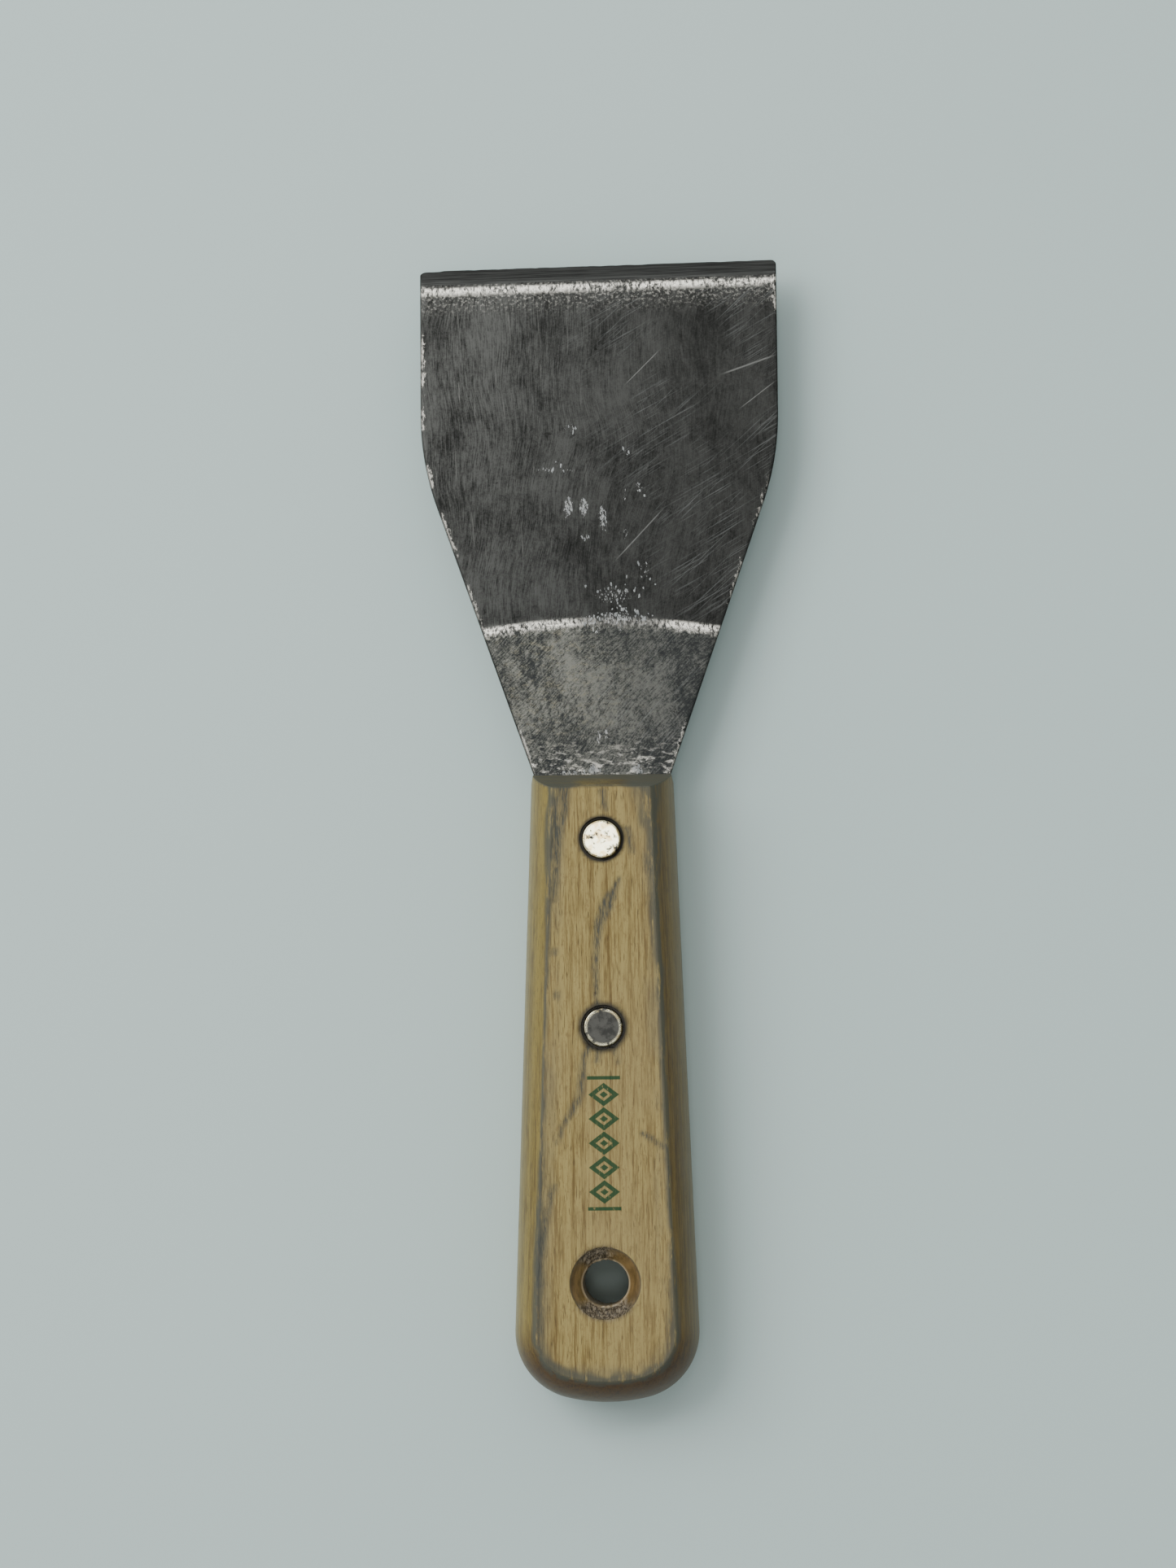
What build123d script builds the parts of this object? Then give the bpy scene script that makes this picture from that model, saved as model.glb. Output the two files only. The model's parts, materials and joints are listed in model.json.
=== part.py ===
"""Putty knife: a taper-ground steel blade whose tang is riveted into a slotted wooden handle.

Each piece is drawn about the tang: y = 0 is the handle's front face, +Y runs to the working edge and
z = 0 is the middle of the steel. Everything is then moved as one to the row frame, where the knife lies
on the handle's flat face with the middle of its footprint at the origin. Sizes are in millimetres.
"""

import os
from math import cos, radians, sin, sqrt, tan

from build123d import *

# Blade, in plan
blade_width = 76.2
blade_reach = 109.7  # handle face to working edge, on the centre line
neck_setback = 0.525  # of each side of the neck from the side of the handle, where they meet
blade_taper = 19.35  # degrees that each side leans in towards the neck
shoulder_radius = 60.0  # where the straight sides turn into the taper
edge_skew = 1.0  # degrees by which the working edge is worn out of square
edge_corner_radius = 1.1

# Blade, in thickness
steel_thickness = 1.6
grind_start = 32.5  # handle face to where the grinding begins
grind_arc_radius = 150.0  # in plan, of the line where the grinding begins
grind_step = 0.2  # depth of the wheel's first bite, on each face
wheel_radius = 12.0
grind_half_sector = 30  # degrees each way that the grinding sweeps, past the blade's sides
ground_edge_thickness = 0.7  # of the ground blade beside the bevel
bevel_length = 3.2
edge_land = 0.2  # thickness left at the working edge

# Tang
tang_length = 62.0  # handle face to the tang's end
tang_corner_radius = 5.0

# Handle
handle_length = 130.7
handle_thickness = 22.0
handle_front_width = 29.9
handle_butt_width = 39.0  # where the sides would meet the end, without the corners
butt_radius = 36.0
butt_corner_radius = 14.0
side_bulge = 4.8  # how far the moulded sides stand out from the flat faces
arris_radius = 0.6
nose_length = 3.3  # bevel at the front, along the handle
nose_height = 8.0  # and across its thickness
nose_side_length = 1.6  # easing of the front corners, along the handle
nose_side_width = 0.4
kerf_end_gap = 4.0  # tang's end to the bottom of the kerf
kerf_clearance = 0.05  # on each face of the tang
saw_radius = 75.0  # of the saw that cuts the kerf

# Hanging hole
hang_hole_diameter = 9.525
hang_hole_setback = 24.8  # handle's end to the hole
countersink_diameter = 14.8
countersink_depth = 2.6

# Rivets
front_rivet_setback = 14.2  # handle face to the front rivet
rear_rivet_setback = 8.7  # tang's end to the rear rivet
head_diameter = 8.2
head_thickness = 1.2
head_recess = 0.25  # of the head under the wood's face
head_edge = 0.3  # chamfer round the head
head_well_clearance = 0.5  # between head and counterbore
tube_diameter = 5.0
post_diameter = 3.6
shank_clearance = 0.1  # between tube and the holes it passes through
tube_end_gap = 2.5  # tube's mouth to the other head
post_end_gap = 1.5  # post's tip to the bottom of the tube

overrun = 5.0  # how far cutting shapes pass the ends of the stock
skin = 1.0  # and how far they pass its faces

# Worked out from the above; places along the handle are distances from its front face
neck_width = handle_front_width - 2 * neck_setback
half_thickness = handle_thickness / 2
kerf_depth = tang_length + kerf_end_gap
hang_hole_position = handle_length - hang_hole_setback
rivet_positions = {"front": front_rivet_setback, "rear": tang_length - rear_rivet_setback}
well_depth = head_thickness + head_recess
well_floor = half_thickness - well_depth
shank_hole_diameter = tube_diameter + 2 * shank_clearance
shoulder_y = (blade_width - neck_width) / 2 / tan(radians(blade_taper))
skew_slope = tan(radians(edge_skew))
tip_y = (
    blade_reach
    + (blade_width / 2 - edge_corner_radius) * skew_slope
    + edge_corner_radius * (1 - 1 / cos(radians(edge_skew)))
)


def block(x_size, y_range, z_range):
    """A box centred on x = 0 between two y and two z values."""
    centre = (0, sum(y_range) / 2, sum(z_range) / 2)
    return Pos(*centre) * Box(x_size, y_range[1] - y_range[0], z_range[1] - z_range[0])


def cylinder_between(diameter, y, z_low, z_high):
    """An upright cylinder on the centre line."""
    return Pos(0, y, (z_low + z_high) / 2) * Cylinder(diameter / 2, z_high - z_low)


def prism_across(points, length):
    """A prism along X from a closed outline of (y, z) points."""
    return extrude(Plane.YZ * make_face(Polyline(*points, close=True)), length / 2, both=True)


# ---------------------------------------------------------------- blade


def blade_outline():
    """Plan of the blade from the handle's face to the working edge."""
    half, neck = blade_width / 2, neck_width / 2
    corners = [
        (-neck, 0),
        (neck, 0),
        (half, shoulder_y),
        (half, blade_reach + half * skew_slope),
        (-half, blade_reach - half * skew_slope),
        (-half, shoulder_y),
    ]
    outline = make_face(Polyline(*corners, close=True))
    shoulders = [v for v in outline.vertices() if abs(v.Y - shoulder_y) < 1e-6]
    outline = fillet(shoulders, shoulder_radius)
    edge_corners = [v for v in outline.vertices() if v.Y > blade_reach - half * skew_slope - 1e-6]
    return fillet(edge_corners, edge_corner_radius)


def tang_outline():
    """Plan of the tang, which runs on from the neck at full width."""
    tang = Pos(0, -tang_length / 2) * Rectangle(neck_width, tang_length)
    return fillet(tang.vertices().group_by(Axis.Y)[0], tang_corner_radius)


def grind_cutter():
    """What the wheel takes off the upper face: a short hollow, then a taper to the working edge.

    It is a solid of revolution about an upright axis on the handle's side, so the line where the
    grinding begins is an arc in plan.
    """
    face_z = steel_thickness / 2
    taper_run = tip_y - grind_start
    taper_slope = (face_z - grind_step - ground_edge_thickness / 2) / taper_run
    bite = sqrt(2 * wheel_radius * grind_step - grind_step**2)
    hollow_end = (grind_arc_radius + bite, face_z - grind_step)
    wheel_centre_z = face_z - grind_step + wheel_radius
    middle_z = wheel_centre_z - sqrt(wheel_radius**2 - (bite / 2) ** 2)
    run = taper_run + overrun
    taper_end = (hollow_end[0] + run, hollow_end[1] - run * taper_slope)
    top = face_z + skin
    outline = [
        ThreePointArc(
            (grind_arc_radius, face_z), (grind_arc_radius + bite / 2, middle_z), hollow_end
        ),
        Polyline(
            hollow_end,
            taper_end,
            (taper_end[0], top),
            (grind_arc_radius, top),
            (grind_arc_radius, face_z),
        ),
    ]
    section = Plane.XZ * make_face(outline)
    swept = revolve(Rot(0, 0, 90 - grind_half_sector) * section, Axis.Z, 2 * grind_half_sector)
    return Pos(0, grind_start - grind_arc_radius) * swept


def bevel_cutter():
    """The sharpening bevel, ground on the upper face along the worn edge."""
    low = -ground_edge_thickness / 2 + edge_land
    high = ground_edge_thickness / 2
    slope = (high - low) / bevel_length
    wedge = prism_across(
        [
            (-bevel_length - overrun, high + slope * overrun),
            (overrun, low - slope * overrun),
            (overrun, high + slope * overrun),
        ],
        2 * blade_width,
    )
    return Pos(0, blade_reach) * Rot(0, 0, edge_skew) * wedge


def make_blade():
    plan = blade_outline() + tang_outline()
    blade = extrude(plan, steel_thickness / 2, both=True)
    cutter = grind_cutter()
    blade -= cutter
    blade -= mirror(cutter, Plane.XY)
    blade -= bevel_cutter()
    for y in rivet_positions.values():
        blade -= cylinder_between(shank_hole_diameter, -y, -steel_thickness, steel_thickness)
    return blade


# ---------------------------------------------------------------- handle


def handle_outline():
    """Plan of the handle at mid-thickness, run on past the front face."""
    front, butt = handle_front_width / 2, handle_butt_width / 2
    chord_y = -handle_length + butt_radius - sqrt(butt_radius**2 - butt**2)
    lean = (butt - front) / chord_y
    start = front + lean * overrun
    outline = make_face(
        [
            Polyline((-butt, chord_y), (-start, overrun), (start, overrun), (butt, chord_y)),
            ThreePointArc((-butt, chord_y), (0, -handle_length), (butt, chord_y)),
        ]
    )
    return fillet(outline.vertices().group_by(Axis.Y)[0], butt_corner_radius)


def side_cutter(outline):
    """The moulding cutter: all that lies outside the bulging side, swept down one side of the
    outline, round the butt and back up the other side.
    """
    path = Wire([e for e in outline.edges() if e.center().Y < overrun - 1e-6])
    bulge_radius = (half_thickness**2 + side_bulge**2) / (2 * side_bulge)
    reach = half_thickness + skin
    inset = bulge_radius - sqrt(bulge_radius**2 - reach**2)
    section = make_face(
        [
            ThreePointArc((-inset, reach), (0, 0), (-inset, -reach)),
            Polyline((-inset, -reach), (overrun, -reach), (overrun, reach), (-inset, reach)),
        ]
    )
    along = path % 0
    outward = along.cross(Vector(0, 0, 1))
    if outward.X * (path @ 0).X < 0:
        outward = -outward
    return sweep(Plane(origin=path @ 0, x_dir=outward, z_dir=along) * section, path)


def nose_cutters():
    """The bevels at the front: steep ones above and below, slight ones at the corners."""
    face_z = half_thickness - nose_height
    slope = nose_height / nose_length
    above = prism_across(
        [
            (overrun, face_z - slope * overrun),
            (overrun, half_thickness + slope * overrun),
            (-nose_length - overrun, half_thickness + slope * overrun),
        ],
        2 * handle_front_width,
    )
    side = handle_front_width / 2
    flare = nose_side_width / nose_side_length
    corner = make_face(
        Polyline(
            (side - nose_side_width - flare * overrun, overrun),
            (side + flare * overrun, -nose_side_length - overrun),
            (side + overrun, overrun),
            close=True,
        )
    )
    right = extrude(corner, handle_thickness, both=True)
    return [above, mirror(above, Plane.XY), right, mirror(right, Plane.YZ)]


def rivet_well(y):
    """Counterbores at both faces and the hole between them."""
    well_diameter = head_diameter + 2 * head_well_clearance
    hole = cylinder_between(shank_hole_diameter, -y, -handle_thickness, handle_thickness)
    upper = cylinder_between(well_diameter, -y, well_floor, handle_thickness)
    return hole + upper + mirror(upper, Plane.XY)


def hang_hole():
    """Through hole, countersunk at both faces."""
    y = -hang_hole_position
    hole = cylinder_between(hang_hole_diameter, y, -handle_thickness, handle_thickness)
    spread = (countersink_diameter - hang_hole_diameter) / 2
    cone = Cone(
        hang_hole_diameter / 2,
        countersink_diameter / 2 + skin * spread / countersink_depth,
        countersink_depth + skin,
    )
    upper = Pos(0, y, half_thickness + (skin - countersink_depth) / 2) * cone
    return hole + upper + mirror(upper, Plane.XY)


def make_handle():
    outline = handle_outline()
    stock = extrude(offset(outline, skin), half_thickness, both=True)
    wood = stock - side_cutter(outline)
    arrises = [
        e
        for face in (wood.faces().sort_by(Axis.Z)[0], wood.faces().sort_by(Axis.Z)[-1])
        for e in face.outer_wire().edges()
        if e.center().Y < overrun
    ]
    wood = fillet(arrises, arris_radius)
    wood -= block(3 * handle_butt_width, (0, 3 * overrun), (-handle_thickness, handle_thickness))
    for cutter in nose_cutters():
        wood -= cutter
    kerf_half = steel_thickness / 2 + kerf_clearance
    wood -= Pos(0, saw_radius - kerf_depth) * Cylinder(saw_radius, 2 * kerf_half)
    for y in rivet_positions.values():
        wood -= rivet_well(y)
    return wood - hang_hole()


# ---------------------------------------------------------------- rivets


def rivet_head():
    """A flat chamfered head that fills the upper counterbore, seen from above."""
    head = cylinder_between(head_diameter, 0, well_floor, well_floor + head_thickness)
    rim = head.edges().filter_by(GeomType.CIRCLE).sort_by(Axis.Z)[-1]
    return chamfer(rim, head_edge)


def rivet_post():
    """The solid half, with its head above."""
    tip = -well_floor + post_end_gap
    return rivet_head() + cylinder_between(post_diameter, 0, tip, well_floor)


def rivet_cap():
    """The tubular half, with its head below."""
    mouth = well_floor - tube_end_gap
    tube = cylinder_between(tube_diameter, 0, -well_floor, mouth)
    bore = cylinder_between(post_diameter, 0, -well_floor, mouth + skin)
    return mirror(rivet_head(), Plane.XY) + (tube - bore)


def build_parts():
    """Every piece by its node name, about the tang."""
    parts = {"blade": make_blade(), "handle": make_handle()}
    for place, y in rivet_positions.items():
        parts[f"rivet_post_{place}"] = Pos(0, -y) * rivet_post()
        parts[f"rivet_cap_{place}"] = Pos(0, -y) * rivet_cap()
    return parts


def main():
    os.makedirs("parts", exist_ok=True)
    front_y = (handle_length - tip_y) / 2
    row_frame = Pos(0, front_y, half_thickness)
    for name, shape in build_parts().items():
        export_step(row_frame * shape, f"parts/{name}.step")
    throat = handle_thickness - 2 * countersink_depth
    print(f"handle face at y {front_y:.3f}, hanging hole at y {front_y - hang_hole_position:.3f}")
    print(f"hanging hole: radius {hang_hole_diameter / 2:.4f}, wall {throat:.2f} long")


main()
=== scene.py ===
"""The looks of a worn putty knife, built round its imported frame.

Lengths are in metres, +Y runs to the working edge and the knife lies on z = 0. Each operator below builds one
piece, or one group of like pieces, and the last one sets the stage.
"""

import json
from math import asin, atan2, cos, hypot, pi, radians, sin, sqrt, tan

import bmesh
import bpy
import numpy as np
from bpy.props import FloatProperty, FloatVectorProperty, IntProperty, PointerProperty
from mathutils import Matrix, Vector
from mathutils.kdtree import KDTree


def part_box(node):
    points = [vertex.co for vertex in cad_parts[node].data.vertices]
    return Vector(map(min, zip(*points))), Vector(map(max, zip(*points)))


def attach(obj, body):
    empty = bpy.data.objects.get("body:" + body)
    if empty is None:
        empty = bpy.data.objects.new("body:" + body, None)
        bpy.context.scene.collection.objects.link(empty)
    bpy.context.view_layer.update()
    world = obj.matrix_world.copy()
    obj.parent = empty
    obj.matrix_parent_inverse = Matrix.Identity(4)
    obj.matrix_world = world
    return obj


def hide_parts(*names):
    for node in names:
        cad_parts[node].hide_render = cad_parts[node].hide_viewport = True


bl_info = {
    "name": "Worn putty knife",
    "version": (1, 0, 0),
    "blender": (4, 5, 0),
    "location": "3D View > Sidebar > Putty knife",
    "description": "Builds a worn putty knife with a riveted wooden handle",
    "category": "Object",
}

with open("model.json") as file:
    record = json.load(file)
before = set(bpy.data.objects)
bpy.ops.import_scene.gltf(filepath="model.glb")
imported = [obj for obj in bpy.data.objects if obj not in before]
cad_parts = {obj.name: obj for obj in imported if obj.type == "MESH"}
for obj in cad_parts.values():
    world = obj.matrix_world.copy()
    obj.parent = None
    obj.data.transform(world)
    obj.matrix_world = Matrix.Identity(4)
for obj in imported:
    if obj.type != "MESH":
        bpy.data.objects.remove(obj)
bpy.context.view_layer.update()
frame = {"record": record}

MM = 0.001
BODY = "root"

BLADE_LOW, BLADE_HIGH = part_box("blade")
HANDLE_LOW, HANDLE_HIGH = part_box("handle")
FACE_Y = HANDLE_HIGH[1]  # the handle's front face, which the blade comes out of
MID_Z = (HANDLE_LOW[2] + HANDLE_HIGH[2]) / 2  # the middle of the steel
HANG_HOLE = next(m for m in frame["record"]["mounts"] if m["name"] == "hang_hole")
HOLE_RADIUS = HANG_HOLE["dims"]["r_mm"] * MM
HOLE_Y = HANG_HOLE["pos_m"][1] - FACE_Y


def rivet_place(node):
    """How far in front of the handle's face a rivet's axis lies; behind it is negative."""
    low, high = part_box(node)
    return (low[1] + high[1]) / 2 - FACE_Y


RIVET_Y = {"front": rivet_place("rivet_post_front"), "rear": rivet_place("rivet_post_rear")}


# ------------------------------------------------------------------ settings


def length(name, description, value, lowest=0.0):
    """A length that a user may change."""
    return FloatProperty(
        name=name, description=description, default=value, min=lowest, precision=5, unit="LENGTH"
    )


def colour(name, description, value):
    """A colour that a user may change."""
    words = {"name": name, "description": description}
    return FloatVectorProperty(**words, default=value, subtype="COLOR", min=0, max=1)


def point(name, description, value):
    """A place that a user may change."""
    return FloatVectorProperty(name=name, description=description, default=value, subtype="TRANSLATION")


def angle(name, description, value):
    """An angle that a user may change."""
    return FloatProperty(name=name, description=description, default=value, subtype="ANGLE")


class BladeSettings(bpy.types.PropertyGroup):
    """Sizes and colours of the blade."""

    neck_width: length("Neck width", "Width where the blade leaves the handle", 28.85 * MM)
    taper: angle("Taper", "Lean of each side towards the neck", radians(19.35))
    shoulder_radius: length("Shoulder radius", "Round between the taper and the sides", 60 * MM)
    skew: angle("Edge skew", "How far the working edge has worn out of square", radians(1.0))
    corner_radius: length("Corner radius", "Of the two corners of the working edge", 1.1 * MM)
    side_easing: length("Side easing", "Round along the blade's long sides", 0.27 * MM)
    tang_corner: length("Tang corner", "Radius of the tang's two corners", 5 * MM)
    grind_start: length("Grind start", "From the handle's face to the line where grinding begins", 32.5 * MM)
    grind_radius: length("Grind line radius", "Of that line, seen from above", 150 * MM)
    grind_step: length("Grind step", "Depth of the wheel's first bite on each face", 0.2 * MM)
    wheel_radius: length("Wheel radius", "Of the grinding wheel", 12 * MM)
    ground_edge: length("Ground thickness", "Of the steel beside the bevel", 0.7 * MM)
    bevel_length: length("Bevel length", "Of the sharpened bevel", 3.2 * MM)
    edge_land: length("Edge thickness", "Steel left at the working edge", 0.2 * MM)
    shoulder_wear: length("Bevel shoulder wear", "How far the face is worn round behind the bevel", 3.4 * MM)
    steel: colour("Steel", "Tarnished steel", (0.084, 0.086, 0.081))
    # the bright steel colour is painted highlight, mixed in along the grind line, the bevel's shoulder, the
    # neck's foot and the long edges
    bright: colour("Bright steel", "Steel polished by use", (0.78, 0.76, 0.68))
    smear: colour("Smears", "Thin dried filler over the steel", (0.5, 0.51, 0.5))
    seed: IntProperty(name="Seed", description="Places of the nicks and dents", default=7)


class FillerSettings(bpy.types.PropertyGroup):
    """Dried filler on the blade."""

    thickness: length("Thickness", "Of the dried flakes", 0.07 * MM)
    white: colour("Filler", "Dried filler", (0.42, 0.44, 0.43))
    seed: IntProperty(name="Seed", description="Places of the flakes", default=21)


class HandleSettings(bpy.types.PropertyGroup):
    """Sizes and colours of the handle."""

    front_width: length("Front width", "Width where the blade enters", 29.9 * MM)
    butt_width: length("Butt width", "Width where the sides would meet the end", 39.0 * MM)
    butt_radius: length("Butt radius", "Of the handle's end, seen from above", 36 * MM)
    butt_corner: length("Butt corner", "Radius between the sides and the end", 14 * MM)
    side_bulge: length("Side bulge", "How far the moulded sides stand out from the flat faces", 4.8 * MM)
    arris_radius: length("Arris radius", "Round between the flat faces and the sides", 0.6 * MM)
    nose_length: length("Nose length", "Front bevel, along the handle", 3.3 * MM)
    nose_height: length("Nose height", "Front bevel, across the thickness", 8 * MM)
    nose_side_length: length("Nose side length", "Easing of the front corners, along the handle", 1.6 * MM)
    nose_side_width: length("Nose side width", "Easing of the front corners, across", 0.4 * MM)
    kerf_width: length("Kerf width", "Of the saw cut that holds the tang", 1.7 * MM)
    kerf_depth: length("Kerf depth", "From the handle's face", 66 * MM)
    saw_radius: length("Saw radius", "Of the saw that cut the kerf", 75 * MM)
    flare_width: length("Flare width", "Across the hanging hole's countersink", 14.8 * MM)
    flare_depth: length("Flare depth", "Of the hanging hole's countersink", 2.6 * MM)
    well_radius: length("Well radius", "Of the counterbore round each rivet head", 4.6 * MM)
    shank_hole: length("Shank hole radius", "Of the hole for each rivet's shank", 2.6 * MM)
    pale: colour("Pale wood", "Wood between the growth rings", (0.38, 0.295, 0.107))
    dark: colour("Dark wood", "Wood in the growth rings", (0.152, 0.098, 0.027))
    lacquer: colour("Lacquered wood", "Wood under the old lacquer of the sides", (0.68, 0.645, 0.4))
    grime: colour("Grime", "Dirt in the worn edges", (0.07, 0.074, 0.058))
    ink: colour("Ink", "Printed ornament", (0.006, 0.055, 0.018))
    seed: IntProperty(name="Seed", description="Places of the dents and torn fibres", default=3)


class RivetSettings(bpy.types.PropertyGroup):
    """Sizes and colours of the rivets."""

    head_radius: length("Head radius", "Of each rivet head", 4.1 * MM)
    head_thickness: length("Head thickness", "Of each rivet head", 1.2 * MM)
    head_recess: length("Head recess", "Of the head under the wood's face", 0.25 * MM)
    head_edge: length("Head edge", "Chamfer round the head", 0.3 * MM)
    tube_radius: length("Tube radius", "Of the rivet's tubular half", 2.5 * MM)
    post_radius: length("Post radius", "Of the rivet's solid half", 1.8 * MM)
    tube_gap: length("Tube gap", "Tube's mouth to the other head", 2.5 * MM)
    post_gap: length("Post gap", "Post's tip to the bottom of the tube", 1.5 * MM)
    plating: colour("Plating", "Bright plating", (0.88, 0.84, 0.58))
    tarnish: colour("Tarnish", "Tarnished plating", (0.1, 0.1, 0.092))


class StageSettings(bpy.types.PropertyGroup):
    """Floor, light and camera."""

    floor_colour: colour("Floor", "Pale matt floor", (0.6, 0.745, 0.72))
    floor_size: length("Floor size", "Across the floor", 24.0)
    lens: FloatProperty(name="Lens", description="Focal length in millimetres", default=86.4, min=1)
    camera_place: point("Camera place", "From the middle of the knife", (23.95 * MM, -67.3 * MM, 790.4 * MM))
    camera_aim: point("Camera aim", "Where it looks, from the middle of the knife", (-3.05 * MM, 8.5 * MM, 0))
    camera_roll: angle("Camera roll", "Turn of the camera", radians(0.5))


# ------------------------------------------------------------------ mesh helpers


def new_piece(name, points, faces, smooth_angle=radians(40)):
    """A mesh object in the row frame, smooth but for edges sharper than smooth_angle."""
    mesh = bpy.data.meshes.new(name)
    mesh.from_pydata([tuple(p) for p in points], [], [tuple(f) for f in faces])
    mesh.validate()
    mesh.shade_smooth()
    mesh.set_sharp_from_angle(angle=smooth_angle)
    piece = bpy.data.objects.new(name, mesh)
    bpy.context.scene.collection.objects.link(piece)
    return piece


def places(mesh, kind="co"):
    """The mesh's points as an array, or their normals."""
    found = np.empty(len(mesh.vertices) * 3, np.float32)
    mesh.vertices.foreach_get(kind, found)
    return found.reshape(-1, 3).astype(float)


def move_to(mesh, points):
    """Puts the mesh's points in new places."""
    mesh.vertices.foreach_set("co", points.astype(np.float32).ravel())
    mesh.update()


def keep_mask(mesh, name, values):
    """Stores one number per point for the material to read."""
    layer = mesh.attributes.new(name, "FLOAT", "POINT")
    layer.data.foreach_set("value", values.astype(np.float32))


def strip(first, second, closed):
    """Quads between two lists of point numbers of equal length."""
    count = len(first)
    last = count if closed else count - 1
    return [(first[i], first[(i + 1) % count], second[(i + 1) % count], second[i]) for i in range(last)]


def lumps(points, size, seed):
    """Smooth random values from -1 to 1 at the points, in lumps of that size."""
    table = np.random.default_rng(seed).uniform(-1, 1, (32, 32, 32))
    scaled = np.asarray(points) / size
    cell = np.floor(scaled).astype(int)
    part = scaled - cell
    part = part * part * (3 - 2 * part)
    total = np.zeros(len(scaled))
    for corner in np.ndindex(2, 2, 2):
        weight = np.prod(np.where(corner, part, 1 - part), axis=1)
        total += weight * table[tuple(((cell + corner) % 32).T)]
    return total


def fade(value, start, end):
    """0 at start and 1 at end, eased at both."""
    t = np.clip((value - start) / (end - start), 0, 1)
    return t * t * (3 - 2 * t)


def near_path(x, y, path):
    """Distance in plan from each point to a chain of (x, y, half width), less the half width there."""
    best = np.full(len(x), 1.0)
    for (ax, ay, aw), (bx, by, bw) in zip(path, path[1:]):
        along = ((x - ax) * (bx - ax) + (y - ay) * (by - ay)) / ((bx - ax) ** 2 + (by - ay) ** 2)
        along = np.clip(along, 0, 1)
        gap = np.hypot(x - ax - along * (bx - ax), y - ay - along * (by - ay))
        best = np.minimum(best, gap - aw - along * (bw - aw))
    return best


def lathe(name, profile, centre_y, segments):
    """A closed solid turned about an upright axis from (radius, z) points, the axis included."""
    turns = np.arange(segments) * 2 * pi / segments
    points, rings = [], []
    for radius, z in profile:
        if radius == 0:
            rings.append([len(points)] * segments)
            points.append((0, centre_y, z))
        else:
            rings.append(list(range(len(points), len(points) + segments)))
            points += [(radius * cos(t), centre_y + radius * sin(t), z) for t in turns]
    faces = []
    for lower, upper in zip(rings, rings[1:]):
        for quad in strip(lower, upper, closed=True):
            corners = list(dict.fromkeys(quad))
            if len(corners) > 2:
                faces.append(corners)
    return new_piece(name, points, faces)


def spaced(start, end, step):
    """Values from start to end, both included, about one step apart."""
    return np.linspace(start, end, max(2, int(abs(end - start) / step) + 1))


def refined(profile, step):
    """A (radius, z) profile with its long runs divided."""
    result = [profile[0]]
    for (r0, z0), (r1, z1) in zip(profile, profile[1:]):
        parts = max(1, round(hypot(r1 - r0, z1 - z0) / step))
        result += [(r0 + (r1 - r0) * k / parts, z0 + (z1 - z0) * k / parts) for k in range(1, parts + 1)]
    return result


# ------------------------------------------------------------------ shader helpers


class Value:
    """What a node puts out, with plain arithmetic that adds Math nodes."""

    def __init__(self, graph, socket):
        self.graph = graph
        self.socket = socket

    def __add__(self, other):
        return self.graph.math("ADD", self, other)

    def __sub__(self, other):
        return self.graph.math("SUBTRACT", self, other)

    def __rsub__(self, other):
        return self.graph.math("SUBTRACT", other, self)

    def __mul__(self, other):
        return self.graph.math("MULTIPLY", self, other)

    def __truediv__(self, other):
        return self.graph.math("DIVIDE", self, other)

    def __abs__(self):
        return self.graph.math("ABSOLUTE", self)

    __radd__ = __add__
    __rmul__ = __mul__

    def step(self, start, end):
        """0 at start and 1 at end, eased; start may be the larger."""
        limits = (start, end, 0, 1) if start < end else (end, start, 1, 0)
        settings = {"interpolation_type": "SMOOTHSTEP"}
        return self.graph.result("ShaderNodeMapRange", settings, (self, *limits))


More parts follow.
